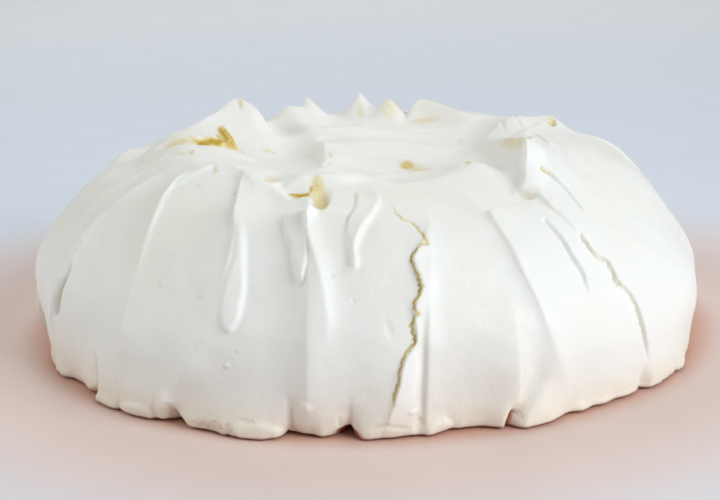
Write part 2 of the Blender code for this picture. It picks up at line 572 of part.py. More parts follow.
def panel_hollows(angle, arc):
    """Shallow hollows between the panel lines, which leave the lines standing as edges."""
    lines, hollows = panel_lines()
    low, full, start, gone = PANEL_FADE
    fade = (0.35 + 0.65 * rise(low, full, arc)) * (1 - rise(start, gone, arc))
    total = np.zeros_like(angle)
    for line, after, depth in zip(lines, lines[1:] + lines[:1], hollows):
        here = np.interp(arc, line[:, 1], line[:, 0])
        width = (np.interp(arc, after[:, 1], after[:, 0]) - here) % 360
        share = ((angle - here) % 360) / width
        total -= np.where(share < 1, depth * 4 * share * (1 - share), 0) * fade
    return total


def plan_gap(line, x, y):
    """Signed distance from a line drawn in plan, positive to the right of its run, and the place along it."""
    nearest = np.full(x.shape, np.inf)
    gap = np.zeros(x.shape)
    place = np.zeros(x.shape)
    for index, (start, end) in enumerate(zip(line, line[1:])):
        run_x, run_y = end[0] - start[0], end[1] - start[1]
        length = np.hypot(run_x, run_y)
        part = np.clip(((x - start[0]) * run_x + (y - start[1]) * run_y) / length**2, 0, 1)
        off_x = x - start[0] - part * run_x
        off_y = y - start[1] - part * run_y
        away = np.hypot(off_x, off_y)
        side = np.where(off_x * run_y - off_y * run_x < 0, -1, 1)
        nearer = away < nearest
        nearest = np.where(nearer, away, nearest)
        gap = np.where(nearer, side * away, gap)
        place = np.where(nearer, index + part, place)
    return gap, place


def fold_height(stations, x, y):
    """Height of a fold of the crown, worked out only near its line."""
    line = spline(stations, FOLD_SPOTS)
    far = FOLD_REACH * line[:, 3:].max()
    low = line[:, :2].min(0) - far
    high = line[:, :2].max(0) + far
    near = (x > low[0]) & (x < high[0]) & (y > low[1]) & (y < high[1])
    gap, place = plan_gap(line, x[near], y[near])
    number = np.arange(len(line))
    height = np.maximum(np.interp(place, number, line[:, 2]), 0)
    left = np.interp(place, number, line[:, 3])
    right = np.interp(place, number, line[:, 4])
    total = np.zeros_like(x)
    total[near] = height * crest(gap, left, right)
    return total


def crease_depth(stations, x, y):
    """Depth of a thin crease of the crown, worked out only near its line."""
    line = spline(stations, FOLD_SPOTS)
    near = (x > line[:, 0].min() - FOLD_REACH) & (x < line[:, 0].max() + FOLD_REACH)
    near &= (y > line[:, 1].min() - FOLD_REACH) & (y < line[:, 1].max() + FOLD_REACH)
    gap, place = plan_gap(line, x[near], y[near])
    number = np.arange(len(line))
    depth = np.maximum(np.interp(place, number, line[:, 2]), 0)
    total = np.zeros_like(x)
    total[near] = depth * np.exp(-((gap / np.interp(place, number, line[:, 3])) ** 2))
    return total


def oval(x0, y0, wide, long, turn, x, y):
    """Distance from the middle of a turned oval, where 1 is its edge."""
    c, s = np.cos(np.radians(turn)), np.sin(np.radians(turn))
    across = (c * (x - x0) + s * (y - y0)) / wide
    along = (c * (y - y0) - s * (x - x0)) / long
    return np.hypot(across, along)


def ripple(x, y, z, length, seed):
    """Smooth unevenness of about this wavelength."""
    chance = np.random.default_rng(seed)
    total = np.zeros_like(x)
    for _ in range(WAVES):
        way = chance.normal(size=3)
        way *= 2 * np.pi / length * chance.uniform(0.75, 1.3) / np.linalg.norm(way)
        total += np.cos(way[0] * x + way[1] * y + way[2] * z + chance.uniform(0, 2 * np.pi))
    return total * np.sqrt(2 / WAVES)


def side_push(angle, arc, radius):
    """How far the side stands out from the plain dome, and how far its ridges curl over sideways."""
    push = panel_hollows(angle, arc)
    curl = np.zeros_like(push)
    for stations in [*RIDGES.values(), *back_strokes()]:
        height, lean = ridge_height(stations, angle, arc, radius)
        push += height
        curl += lean
    for tongue in TONGUES.values():
        push += tongue_height(*tongue, angle, arc, radius)
    for stations in GROOVES.values():
        push -= groove_depth(stations, angle, arc, radius)
    for seed, stations in enumerate(CRACKS.values()):
        push -= crack_depth(jagged(stations, seed), angle, arc, radius)
    for stations in SLITS.values():
        push -= crack_depth(spline(stations, LINE_SPOTS), angle, arc, radius)
    for angle0, arc0, wide, long, height in SWELLS.values():
        push += height * np.exp(-((turned(angle - angle0) / wide) ** 2) - ((arc - arc0) / long) ** 2)
    return push, curl


def crown_lift(x, y):
    """How far the top is raised, and how far its peaks lean in x and y."""
    lift = np.zeros_like(x)
    shift_x = np.zeros_like(x)
    shift_y = np.zeros_like(x)
    for stations in FOLDS.values():
        lift += fold_height(stations, x, y)
    for *place, height in MOUNDS.values():
        lift += height * np.exp(-(oval(*place, x, y) ** 2))
    for *place, depth in PITS.values():
        lift -= depth * (1 - rise(*PIT_WALL, oval(*place, x, y)))
    for stations in CREASES.values():
        lift -= crease_depth(stations, x, y)
    for x0, y0, base, height, lean_x, lean_y in PEAKS.values():
        away = np.hypot(x - x0, y - y0) / base
        lift += height * np.exp(-PEAK_POINT * away)
        shift_x += lean_x * np.exp(-PEAK_BEND * away)
        shift_y += lean_y * np.exp(-PEAK_BEND * away)
    return lift, shift_x, shift_y


def shell_points(angle, arc):
    """Points of the shell over a grid of angles and arcs, in mm."""
    dome = plain_dome(arc)
    angle, arc = np.meshgrid(angle, arc)
    radius, height, out, up = (np.broadcast_to(v[:, None], angle.shape) for v in dome)
    c, s = np.cos(np.radians(angle)), np.sin(np.radians(angle))
    x, y = radius * c, radius * s
    push, curl = side_push(angle, arc, radius)
    for seed, (length, size) in enumerate(RIPPLES):
        push += size * ripple(x, y, height, length, seed)
    flare = (ring(FOOT, angle) - PROFILE[0][0]) * np.exp(-arc / FOOT_FADE)
    rim_start, rim_full, rim_end, rim_gone = RIM_FADE
    rim = ring(RIM, angle) * rise(rim_start, rim_full, arc) * (1 - rise(rim_end, rim_gone, arc))
    crown = rise(*CROWN_START, arc)
    lift, shift_x, shift_y = crown_lift(x, y)
    outward = push * out + flare
    x = x + outward * c - curl * s + crown * shift_x - MIDDLE[0]
    y = y + outward * s + curl * c + crown * shift_y - MIDDLE[1]
    z = height + push * up * rise(0, FOOT_ROUND, height) + rim + crown * lift
    return x, y, np.maximum(z, 0)


def shell_mesh(name, columns, rows):
    """The closed body: rings from the foot to a single point at the top, with a flat base."""
    angle = np.linspace(-180, 180, columns, endpoint=False)
    arc = np.linspace(0, dome_run()[1][-1], rows + 1)
    x, y, z = shell_points(angle, arc[:-1])
    z[0] = 0
    rings = np.stack([x, y, z], -1).reshape(-1, 3)
    top = (x[-1].mean(), y[-1].mean(), z[-1].mean())
    points = np.vstack([rings, top, (0, 0, 0)]) * MM
    number = np.arange(columns)
    after = np.roll(number, -1)
    quads = []
    for low in range(0, (rows - 1) * columns, columns):
        high = low + columns
        quads.append(np.stack([low + number, low + after, high + after, high + number], 1))
    last = (rows - 1) * columns
    tip, middle = rows * columns, rows * columns + 1
    top_cap = np.stack([last + number, last + after, np.full(columns, tip)], 1)
    base_cap = np.stack([after, number, np.full(columns, middle)], 1)
    faces = np.vstack(quads).tolist() + top_cap.tolist() + base_cap.tolist()
    mesh = bpy.data.meshes.new(name)
    mesh.from_pydata(points.tolist(), [], faces)
    return mesh


def thinned(shell):
    """The shell's mesh with few faces, which are spent where the surface bends."""
    thin = shell.modifiers.new("fewer faces", "DECIMATE")
    thin.ratio = TRIANGLES / sum(len(face.vertices) - 2 for face in shell.data.polygons)
    mesh = bpy.data.meshes.new_from_object(shell.evaluated_get(bpy.context.evaluated_depsgraph_get()))
    shell.modifiers.remove(thin)
    return mesh


def settle(mesh):
    """Sets the foot flat on the ground and the middle of the box over the origin."""
    points = np.empty(len(mesh.vertices) * 3)
    mesh.vertices.foreach_get("co", points)
    x, y, z = points.reshape(-1, 3).T
    z[z < FOOT_SNAP * MM] = 0
    x -= (x.min() + x.max()) / 2
    y -= (y.min() + y.max()) / 2
    mesh.vertices.foreach_set("co", points)


def meringue_material():
    material = bpy.data.materials.new("baked meringue")
    material.use_nodes = True
    shader = material.node_tree.nodes["Principled BSDF"]
    shader.inputs["Base Color"].default_value = MERINGUE_COLOR
    shader.inputs["Roughness"].default_value = MERINGUE_ROUGHNESS
    return material


def build_shell():
    shell = bpy.data.objects.new("meringue", shell_mesh("fine meringue", COLUMNS, ROWS))
    bpy.context.collection.objects.link(shell)
    shell.data = thinned(shell)
    shell.data.name = "meringue"
    settle(shell.data)
    shell.data.shade_smooth()
    shell.data.set_sharp_from_angle(angle=np.radians(SHARP_EDGE))
    shell.data.materials.append(meringue_material())


build_shell()
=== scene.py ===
"""The look of a large baked meringue shell: its fine surface, its browned breaks, and the set.

Lengths in the tables are in mm. Angles are in degrees round the shell: -90 is the front, 0 the
right-hand side and 180 the left-hand side. Arc is the distance up a plain dome from its foot, over the
rim, to the middle of the hollow top."""

import bpy
import numpy as np
from mathutils import Matrix, Vector


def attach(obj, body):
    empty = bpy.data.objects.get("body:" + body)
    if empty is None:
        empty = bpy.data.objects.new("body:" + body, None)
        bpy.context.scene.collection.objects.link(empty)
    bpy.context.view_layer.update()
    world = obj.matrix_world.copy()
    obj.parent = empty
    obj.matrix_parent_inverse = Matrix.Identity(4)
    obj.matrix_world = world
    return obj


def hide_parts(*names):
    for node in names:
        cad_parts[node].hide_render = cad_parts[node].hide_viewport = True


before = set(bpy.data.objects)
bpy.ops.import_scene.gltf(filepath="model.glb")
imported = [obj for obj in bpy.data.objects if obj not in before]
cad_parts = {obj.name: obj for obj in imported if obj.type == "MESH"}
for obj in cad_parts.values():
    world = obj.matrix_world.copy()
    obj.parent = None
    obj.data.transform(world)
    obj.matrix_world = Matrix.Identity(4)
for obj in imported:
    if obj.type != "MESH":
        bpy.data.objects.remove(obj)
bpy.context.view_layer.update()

MM = 0.001


def steady(reach, *stations):
    """Stations that all have the same reach or half width."""
    return [(*station, *reach) for station in stations]


# Points worked out between the stations of each kind of line
PROFILE_SPOTS = 40
RING_SPOTS = 8
LINE_SPOTS = 6
FOLD_SPOTS = 10

# Plain dome: radius and height from the foot, over the rim, to the middle of the hollow top
PROFILE = (
    (110, 0), (112.5, 3), (113.8, 10), (114.9, 20), (113.2, 30), (108, 40), (100.7, 50), (92.3, 58),
    (82.8, 64), (72.8, 67.5), (64, 68.5), (56, 66.7), (46, 63), (32, 60.6), (16, 60), (0, 60),
)

# Middle of the whole shell, which is set over the origin
MIDDLE = (0.7, 0.87)

# Angle and radius of the foot, which wanders in and out, and how soon that fades up the side
FOOT = (
    (-180, 111), (-168, 109), (-160, 113), (-151, 116), (-143, 114), (-136, 115), (-128, 118), (-122, 117),
    (-114, 120), (-108, 120), (-103, 117), (-98, 115), (-93, 114), (-87, 116), (-78, 113), (-73, 114),
    (-65, 120), (-58, 116), (-48, 116), (-38, 118), (-28, 117), (-14, 112), (0, 111), (16, 114), (34, 112),
    (52, 117), (70, 115), (88, 119), (104, 115), (122, 118), (140, 114), (158, 116), (170, 113), (180, 111),
)
FOOT_FADE = 18
FOOT_ROUND = 2.5

# Crumbly edge of the foot: angle and how far it stands out beside that, how soon this fades up the
# side, length and size of the crumbs along it, and how deep and how high the foot is tucked under
FOOT_EDGE = (
    (-180, 0), (-166, 0), (-159, 1.5), (-153.5, 1), (-149.5, 2.5), (-148, 0.5), (-146.5, -0.5),
    (-143, -0.5), (-139, 2), (-138.5, 0.5), (-137.5, 2), (-131, 2.5), (-130.5, 0), (-128, 1), (-124, 0),
    (-123.5, -3), (-121.5, -2.5), (-119.5, 0.5), (-117, 1.5), (-114, -1), (-112.5, -0.5), (-111, 1),
    (-110.5, 0), (-109.5, 1.5), (-107.5, 1), (-105, 2), (-103.5, 0.5), (-102.5, -4.5), (-102, -1.5),
    (-98.5, -2), (-97, 2), (-95, 2), (-94, 0), (-93, -4), (-92.5, 3), (-91.5, 4.5), (-90, 3.5),
    (-88.5, 1.5), (-84, 1.5), (-82, 4.5), (-81, 3.5), (-78.5, 1), (-76.5, 2), (-73, 1), (-70, 3.5),
    (-69.5, 2.5), (-68.5, 3), (-67, 2.5), (-64.5, 1.5), (-58.5, 1.5), (-57, 4), (-54.5, 2), (-52.5, 3),
    (-49.5, 1.5), (-47.5, 2), (-45, 0.5), (-42.5, -1), (-40, -0.5), (-37, 0.5), (-33.5, -0.5), (-32.5, 2),
    (-30, 1), (-26.5, -1), (-20, 0), (180, 0),
)
EDGE_FADE = 3.4
EDGE_CRUMB = (5, 0.16)
TUCK = (2.2, 1.6)

# Angle and height added to the rim, which dips at the front and the back, and the arcs of its fade
RIM = (
    (-180, 0.2), (-165, 0.5), (-150, 0), (-135, -1), (-115, -3.5), (-100, -4.5), (-80, -5), (-64, -4),
    (-52, -1), (-38, 1), (-20, 1.5), (-6, 0.5), (8, -0.6), (25, -2.4), (45, -3.6), (75, -4.5), (90, -5),
    (98, -5.8), (105, -6.4), (111, -5.4), (118, -4.2), (124, -7.5), (132, -4), (140, -0.5), (158, -1.4),
    (170, -1.6), (180, 0.2),
)
RIM_FADE = (62, 88, 98, 126)
RIM_ARC = 96

# Fuller and flatter places of the side: angle, arc, half width in degrees, half length and height
SWELLS = {
    "flat left shoulder": (176, 80, 36, 12, -4),
    "full back left shoulder": (165, 66, 9, 7, 2.8),
    "low back left shoulder": (148, 68, 11, 12, -3.2),
    "full ridge foot": (-98, 45, 2.2, 11, 1.1),
    "full left side": (178, 35, 24, 14, 3.3),
    "full right side": (-8, 22, 24, 11, 1.6),
    "flat right side": (-8, 48, 20, 12, -0.8),
    "flat right shoulder": (12, 76, 24, 14, -1.6),
    "tucked left foot": (-162, 6, 9, 3, -0.9),
    "flat by the left slits": (-156.5, 19, 4, 9, -0.4),
    "full far left": (-172, 25, 9, 9, 1.7),
}

# Ridges down the side: angle, arc, height, and how far each reaches to the left and the right.
# Each is rounded on top by a share of its shorter reach, and curls over its steep side.
CREST_ROUND = 0.3
CURL = 0.7
CURL_REACH = 1.5
RIDGES = {
    "far left lip": steady(
        (5, 0.7), (-166.8, 23, 0), (-166.8, 18.5, 1.2), (-166.8, 15.5, 2.3), (-166.8, 12.5, 3),
        (-166.8, 9.5, 2.9), (-166.8, 6, 2), (-167, 3.5, 1.1), (-167.4, 0, 0.3),
    ),
    "left lip": (
        (-150, 60, 0, 4, 1), (-150.6, 47, 1.1, 4, 0.7), (-150.7, 39, 1.1, 3, 0.5),
        (-150.7, 33, 1, 2.4, 0.4), (-151, 28, 1, 2.4, 0.4), (-152, 21, 0.7, 3, 1), (-154, 8, 0, 4, 2),
    ),
    "left foot lip": (
        (-136.6, 24, 0, 2, 5), (-136, 14, 0.5, 1.6, 5), (-135.2, 7, 0.9, 1.2, 5), (-136.6, 2, 0.8, 1.2, 5),
        (-137.4, 0, 0.6, 1.2, 5),
    ),
    "first ribbon": (
        (-136.6, 86, 0, 2.4, 0.9), (-137.2, 82.5, 1.2, 2.6, 0.8), (-137.4, 78, 1.6, 2.8, 0.8),
        (-135.6, 71, 1.4, 4, 0.8), (-134, 66, 1.2, 5, 0.8), (-132.6, 56, 1, 6, 0.9),
        (-132, 46, 0.7, 7, 1.2), (-131.6, 36, 0.4, 7, 3), (-131, 20, 0.2, 8, 5), (-133, 6, 0, 8, 5),
    ),
    "second foot lip": (
        (-114, 34, 0, 8, 5), (-116, 25, 0.9, 8, 4), (-119.6, 14, 1.2, 7, 3), (-121.6, 8, 1.6, 6, 1.8),
        (-122.4, 3, 1.6, 5, 1.6), (-122.6, 0, 1.2, 4, 1.4),
    ),
    "second ribbon": (
        (-124, 93, 0, 0.6, 5), (-121, 86, 1.2, 0.6, 5), (-118, 78, 1.6, 0.6, 5), (-116, 70, 1.7, 0.6, 4),
        (-114.2, 63, 1.4, 0.7, 3), (-113.6, 57, 1, 0.8, 2), (-113.6, 50, 0.5, 1, 1.6),
        (-113.4, 42, 0, 1, 1.6),
    ),
    "third ridge": (
        (-101.5, 78, 0, 3, 3), (-101, 73.5, 2, 1.2, 2.4), (-100.4, 68, 3.1, 0.8, 2.2),
        (-99.9, 62, 3.2, 1, 2), (-99, 57, 2.9, 1.4, 2), (-97.9, 51, 2.3, 3, 2), (-96.9, 44, 1.6, 4.5, 2),
        (-96.2, 36, 0.8, 5, 2.4), (-96, 28, 0, 5, 3),
    ),
    "third edge": (
        (-99.6, 56, 0, 3, 8), (-99.2, 48, 1.1, 3, 8), (-98.8, 36, 1.7, 3.4, 9), (-98.5, 25, 1.9, 3.8, 9),
        (-98.5, 15, 1.8, 3.4, 8), (-98.6, 11.5, 1.6, 2.4, 7), (-98.8, 8, 0.8, 2.4, 6), (-99, 4, 0, 3, 6),
    ),
    "curl edge": (
        (-88.4, 95, 0, 2, 0.8), (-87.6, 90, 1.1, 2, 0.8), (-87.4, 84, 1.5, 2.6, 0.8),
        (-88.2, 79, 1.6, 2.8, 0.8), (-89.5, 72, 1.6, 2.6, 0.7), (-91.3, 65, 1.5, 1.6, 0.7),
        (-92.4, 59, 1.4, 1.2, 0.7), (-92, 55, 1.3, 1, 0.7), (-92.5, 52.5, 0.9, 0.9, 0.8),
        (-94, 51, 0, 1, 1),
    ),
    "crack plate": (
        (-77.5, 74, 0, 2.4, 3), (-78.6, 66, 0.8, 2, 3.2), (-79.6, 61.5, 1.2, 1.2, 3.2),
        (-80.8, 58, 1.5, 0.6, 3.4), (-82, 54, 1.5, 0.5, 3.4), (-81.2, 45.5, 1.5, 0.5, 3.2),
        (-82.4, 41, 1.5, 0.5, 3.2), (-82.8, 36, 1.5, 0.5, 3), (-82.8, 30, 1.6, 0.5, 2.8),
        (-84.6, 25, 1.6, 0.5, 3), (-85.6, 17, 1.5, 0.5, 3.2), (-86.8, 10, 1.1, 0.7, 3), (-88, 2, 0, 2, 3),
    ),
    "trough side": (
        (-68, 44, 0, 9, 3), (-68.2, 33, 0.7, 9, 3), (-68.5, 20, 1.1, 9, 2.6), (-68.2, 6, 1.4, 7, 2),
        (-68, 0, 1, 5, 2),
    ),
    "right flap": (
        (-65, 73, 0, 1, 8), (-65.2, 69.5, 1, 1, 10), (-65.2, 64, 1.3, 1.3, 13), (-64.8, 57.5, 1.5, 1.7, 14),
        (-64.2, 48, 1.6, 2.1, 14), (-63.3, 39, 1.6, 2.5, 14), (-62.7, 31, 1.5, 3, 14),
        (-61.8, 23, 1.3, 4, 13), (-60.4, 14, 1, 5, 12), (-59, 6, 0.5, 5, 10), (-58, 0, 0, 5, 10),
    ),
    "flap edge": steady(
        (0.7, 8), (-56.5, 80, 0), (-55, 77.5, 1), (-53.4, 74.5, 1.3), (-52.2, 71, 1.2), (-51.8, 66.5, 1),
        (-51.2, 63.5, 0.9), (-50.6, 60, 0.7), (-50, 55, 0.4), (-49.5, 50, 0),
    ),
    "right crack lip": steady(
        (0.5, 9), (-49.4, 57, 0), (-48.9, 50, 0.5), (-46.4, 44.5, 0.6), (-46.2, 38, 0.7), (-43.9, 32, 0.7),
        (-43.2, 24.5, 0.7), (-42.5, 17, 0.5), (-41.8, 10, 0),
    ),
    "right foot lip": ((-40, 14, 0, 2, 4), (-41.5, 6, 1, 1.6, 4), (-42, 0, 1, 1.6, 4)),
}

# Grooves and notches down the side, in the same measures with a depth in place of the height
GROOVES = {
    "far left slit": steady(
        (1, 0.8), (-165.2, 21, 0), (-165, 17, 1.2), (-164.8, 12, 1.6), (-165, 7, 1.2), (-165.6, 2.5, 0),
    ),
    "left slit": steady(
        (0.8, 0.6), (-149.7, 40, 0), (-149.6, 37, 1.4), (-149.6, 33, 1.8), (-149.8, 29, 1), (-150, 25, 1),
        (-150.7, 20.5, 0),
    ),
    "left foot notch": (
        (-137.6, 17, 0, 1, 1), (-137, 13, 0.9, 1.1, 0.8), (-136.4, 9.5, 1.3, 1.4, 0.8),
        (-136, 6, 1.8, 1.8, 0.8), (-138, 2, 2.4, 2, 1), (-139.2, 0, 2.6, 2, 1),
    ),
    "second foot notch": (
        (-120.2, 9, 0, 1.4, 1.6), (-120.2, 5, 2.6, 1.6, 2.4), (-120, 1.5, 4.6, 1.8, 4),
        (-119.6, 0, 5, 2, 5),
    ),
    "third foot notch": (
        (-101.9, 15, 0, 0.7, 4), (-101.9, 10, 1.4, 0.7, 4), (-102, 4, 2.4, 0.7, 4), (-102.2, 0, 3, 0.7, 4),
    ),
    "front foot notch": (
        (-93.5, 12, 0, 3, 3), (-93.3, 4, 1.6, 4, 3), (-93.2, 1.5, 5, 4.5, 2.4), (-93.2, 0, 6, 4.5, 2.2),
    ),
    "plate groove": (
        (-81.4, 40, 0, 1.6, 1), (-82, 32, 0.9, 1.8, 1), (-82.4, 20, 1.3, 2, 1.1), (-82.6, 8, 1.2, 2, 1.1),
        (-82.4, 0, 0.8, 1.4, 1),
    ),
    "trough": (
        (-64.8, 30, 0, 4, 4), (-64.9, 22, 0.8, 4, 4), (-65, 16, 1.4, 3.4, 3.4), (-66.4, 11, 2, 2.6, 2.8),
        (-68.4, 6.5, 2.8, 1.8, 2.2), (-69.4, 3, 3.6, 1.3, 2), (-69.8, 0, 4, 1.2, 2),
    ),
    "right foot notch": ((-43, 10, 0, 1.4, 1.4), (-43.4, 3, 1.8, 1.6, 1.4), (-43.6, 0, 2.6, 2, 1.6)),
}

# Jagged cracks: angle, arc, depth and half width of the opening. Each is broken into short steps that
# are thrown to one side.
MM_PER_DEGREE = 1.8
JAG_STEP = 1
JAG_THROW = 0.5
CRACK_REACH = 40
CRACKS = {
    "front crack": steady(
        (0.4,), (-84.9, 86, 0), (-84.3, 76.5, 0.3), (-83.4, 71, 0.37), (-81.9, 69, 0.33), (-81, 66.5, 0.41),
        (-80.1, 62, 0.44), (-79.5, 59.5, 0.44), (-80.8, 58.4, 0.44), (-82.4, 56.5, 0.48),
        (-82.8, 54.5, 0.52), (-82.4, 52, 0.48), (-81.8, 49, 0.52), (-81.6, 45.5, 0.52), (-82.2, 43.5, 0.48),
        (-83.1, 41.5, 0.48), (-82.5, 38.5, 0.48), (-83.6, 36.5, 0.48), (-84, 35, 0.48), (-83.7, 33, 0.48),
        (-83.1, 30, 0.48), (-84.7, 28, 0.44), (-85.2, 26, 0.44), (-85.2, 24, 0.44), (-85.8, 20.5, 0.44),
        (-86.2, 16.5, 0.44), (-86.7, 14.5, 0.48), (-86.4, 12, 0.44), (-87.3, 9.5, 0),
    ),
    "right crack": steady(
        (0.45,), (-49.8, 56, 0), (-49.8, 53, 1.6), (-49.5, 50, 1.6), (-48.4, 46.5, 1.5), (-47.1, 44.5, 1.3),
        (-46.8, 41.5, 1.4), (-46.9, 37.5, 1.5), (-45.6, 35.5, 1.4), (-44.4, 32, 1.3), (-44, 28, 1.3),
        (-43.8, 24.5, 1.3), (-43.5, 19.5, 1.2), (-42.9, 16, 1), (-42.2, 11, 0),
    ),
}

# Fine slits, in the same measures, which run smoothly
SLITS = {
    "right slit": steady(
        (0.55,), (-55, 64, 0), (-54.9, 61.5, 1.5), (-54, 55.5, 2), (-53.7, 49, 2.1), (-53.1, 43.5, 1.8),
        (-53.4, 40, 1), (-53.8, 36, 0),
    ),
    "upper right slit": (
        (-48.8, 79, 0, 0.6), (-48.3, 77.5, 2, 0.7), (-47.1, 75.5, 2.2, 0.7), (-46.5, 73, 1.8, 0.6),
        (-45.9, 70, 1.5, 0.55), (-45.7, 67, 1.4, 0.5), (-45.6, 63.5, 1, 0.5), (-45.6, 61, 0, 0.5),
    ),
    "left crease": (
        (-152, 96.5, 0, 0.8), (-153.2, 94.5, 2, 1.1), (-155.6, 91.5, 2.2, 1.1), (-157.8, 88.5, 1.6, 0.9),
        (-160, 85, 1, 0.7), (-162.5, 81, 0.7, 0.7), (-165, 76, 0, 0.7),
    ),
    "slab dash": steady(
        (0.35,), (-133.4, 79.8, 0), (-132.8, 80.3, 0.7), (-131.8, 81.6, 0.6), (-131.2, 82.4, 0),
    ),
    "slab tick": steady((0.35,), (-121.4, 81, 0), (-120.9, 81.1, 0.8), (-120.4, 81, 0)),
    "curl slit": steady(
        (0.5,), (-92.9, 93, 0), (-92.6, 88, 0.5), (-92.4, 80, 0.7), (-92.9, 75, 0.7), (-93.8, 69.5, 0.7),
        (-93.8, 63, 0.6), (-93, 58, 0.4), (-93.6, 53, 0),
    ),
}

# Flakes, dents and marks of the side: angle, arc, half width, half length, turn in degrees, height, how
# brown and softness of the edge. The shade entries and the trough notch paint shade into recesses through
# how brown, and below 0 it paints a highlight.
SPOTS = {
    "left foot lobe": (-133.8, 2.2, 4.8, 2.6, -6, 0.7, 0.05, 0.3),
    "left foot flake": (-126.8, 2.6, 7.2, 2.9, 4, 0.9, 0, 0.25),
    "left foot bump": (-120.9, 8.2, 2.5, 2.3, 0, 1.1, 0, 0.7),
    "left notch shade": (-119.4, 3, 2.4, 3.2, 0, 0, 0.3, 0.6),
    "left crumbs": (-112.2, 3, 9, 2.6, -3, 0.2, 0.28, 0.4),
    "second foot flake": (-105.9, 3, 6.8, 3.1, -6, 1.3, 0, 0.16),
    "second flake edge": (-107.4, 6.6, 2.8, 0.6, -6, 0, 0.3, 0.6),
    "drip tip": (-99.1, 11.6, 1.6, 1.5, 0, 0.6, 0, 0.6),
    "front foot mark": (-94.6, 6, 0.5, 1.6, 0, -0.5, 0, 0.6),
    "front foot crease": (-88.7, 5.3, 3, 0.6, 14, -0.4, 0.16, 0.6),
    "front foot crease end": (-86.3, 4.7, 3.2, 0.6, -14, -0.4, 0.16, 0.6),
    "far left slit shade": (-165.6, 11, 1.8, 8, 0, 0, 0.2, 0.5),
    "valley": (-83.2, 4, 1.1, 3, 0, -0.9, 0.2, 0.6),
    "valley fleck": (-83.9, 8.8, 1.2, 0.7, 0, 0.5, 0, 0.5),
    "plate flake": (-79.9, 2.6, 3.6, 2.8, 0, 0.9, 0, 0.25),
    "plate flake mark": (-79.8, 5, 0.8, 0.4, 0, -0.4, 0.14, 0.6),
    # The trough notch's brown is painted dark shade inside the notch
    "trough notch": (-69.7, 2.6, 1, 3.6, -20, -1, 1, 0.6),
    "trough shade": (-68.2, 6.6, 2.2, 4.6, -25, 0, 0.26, 0.7),
    "front notch shade": (-93.2, 0.8, 3.8, 2.4, 0, 0, 1, 0.6),
    "third notch shade": (-101.5, 6, 1, 5, 0, 0, 0.3, 0.6),
    "right foot flake": (-50, 1.4, 13, 1.7, 0, 0.5, 0.06, 0.3),
    "far right flake": (-41.2, 1.8, 4.5, 1.8, 0, 0.5, 0.05, 0.3),
    "far right tip": (-30.5, 2.2, 3, 2, 0, 0.5, 0.1, 0.4),
    "left slit shade": (-150, 28.4, 1.5, 5.8, 0, -3.2, 0.42, 0.3),
    "left fleck": (-111, 22, 0.8, 0.6, 0, 0.5, 0, 0.5),
    "crack dent": (-87.1, 34, 1, 2.2, 15, -0.25, 0.04, 0.7),
    "drip dash": (-96, 50, 1, 0.5, 0, -0.5, 0.12, 0.6),
    "highlight by the crack": (-80.2, 46, 3.4, 22, 0, 0, -0.5, 0.6),
    "highlight on the plate": (-84.4, 20, 3.2, 11, -8, 0, -0.6, 0.5),
    "highlight on the slab side": (-100.5, 72, 3, 7, 0, 0, -0.8, 0.5),
}

# Specks of the side: angle and arc of each, and the same measures for all of them
SPECKS = (
    (-131.1, 58.5), (-144, 49), (-126.6, 52.5), (-131.7, 27), (-117.6, 40.5), (-126.6, 42.5),
    (-131.4, 9.5), (-109.8, 26), (-92.4, 42.5), (-114.6, 3.2), (-112.5, 4.8), (-110.4, 4.8), (-109, 4.4),
)
SPECK = (0.5, 0.4, 0, -0.4, 0.12, 0.7)

# Raised tongues of meringue: rows of arc, left edge and right edge, thickness and softness of the edge
TONGUE_ROOT = 4
TONGUES = {
    "second ribbon end": (
        (
            (68, -114.4, -114), (60, -113.2, -112), (53, -112.6, -110.9), (46, -112.9, -110),
            (40, -112.9, -109.8), (36, -112.6, -109.9), (32, -111.8, -110.6),
        ),
        1.2, 0.9,
    ),
    "hanging drip": (
        (
            (76, -107, -99), (70, -106, -100), (63, -104.6, -100.4), (59, -103.2, -100.2),
            (54, -102.4, -100.1), (50, -101.5, -100.3), (47, -100.8, -100.6),
        ),
        2, 1,
    ),
    "curl": (
        (
            (93, -92.7, -88.4), (84, -92.5, -87.4), (75, -92.9, -88.8), (68, -94, -90.6), (62, -94, -92),
            (58, -93.3, -92.3), (53, -93, -92),
        ),
        0.9, 0.7,
    ),
}

# Panels between the strokes: lines of angle and arc from left to right, how far the panel after each
# is hollowed, the arcs between which the hollows start and fade, and their share at the foot
PANEL_LINES = (
    ((-162, 0), (-163, 20), (-160, 50), (-158, 95)),
    ((-155, 0), (-154, 20), (-151, 45), (-150, 60), (-147, 95)),
    ((-134, 0), (-131, 20), (-131.5, 44), (-133.5, 62), (-138, 81), (-132, 95)),
    ((-121, 0), (-117, 22), (-113.5, 36), (-113.5, 56), (-116, 70), (-124, 95)),
    ((-100, 0), (-98.5, 25), (-99.2, 48), (-100.4, 68), (-102, 95)),
    ((-81.7, 0), (-81.8, 23), (-80.4, 45), (-79, 59), (-77, 76), (-75, 95)),
    ((-58, 0), (-61.4, 24), (-62.8, 42), (-65.3, 65), (-68, 95)),
    ((-39, 0), (-44, 28), (-47, 45), (-50, 60), (-50, 95)),
)
PANEL_HOLLOWS = (0.8, 1.2, 1.8, 2, 0.6, 1, 1, 0.4)
PANEL_FADE = (3, 20, 72, 92)
PANEL_FOOT = 0.35

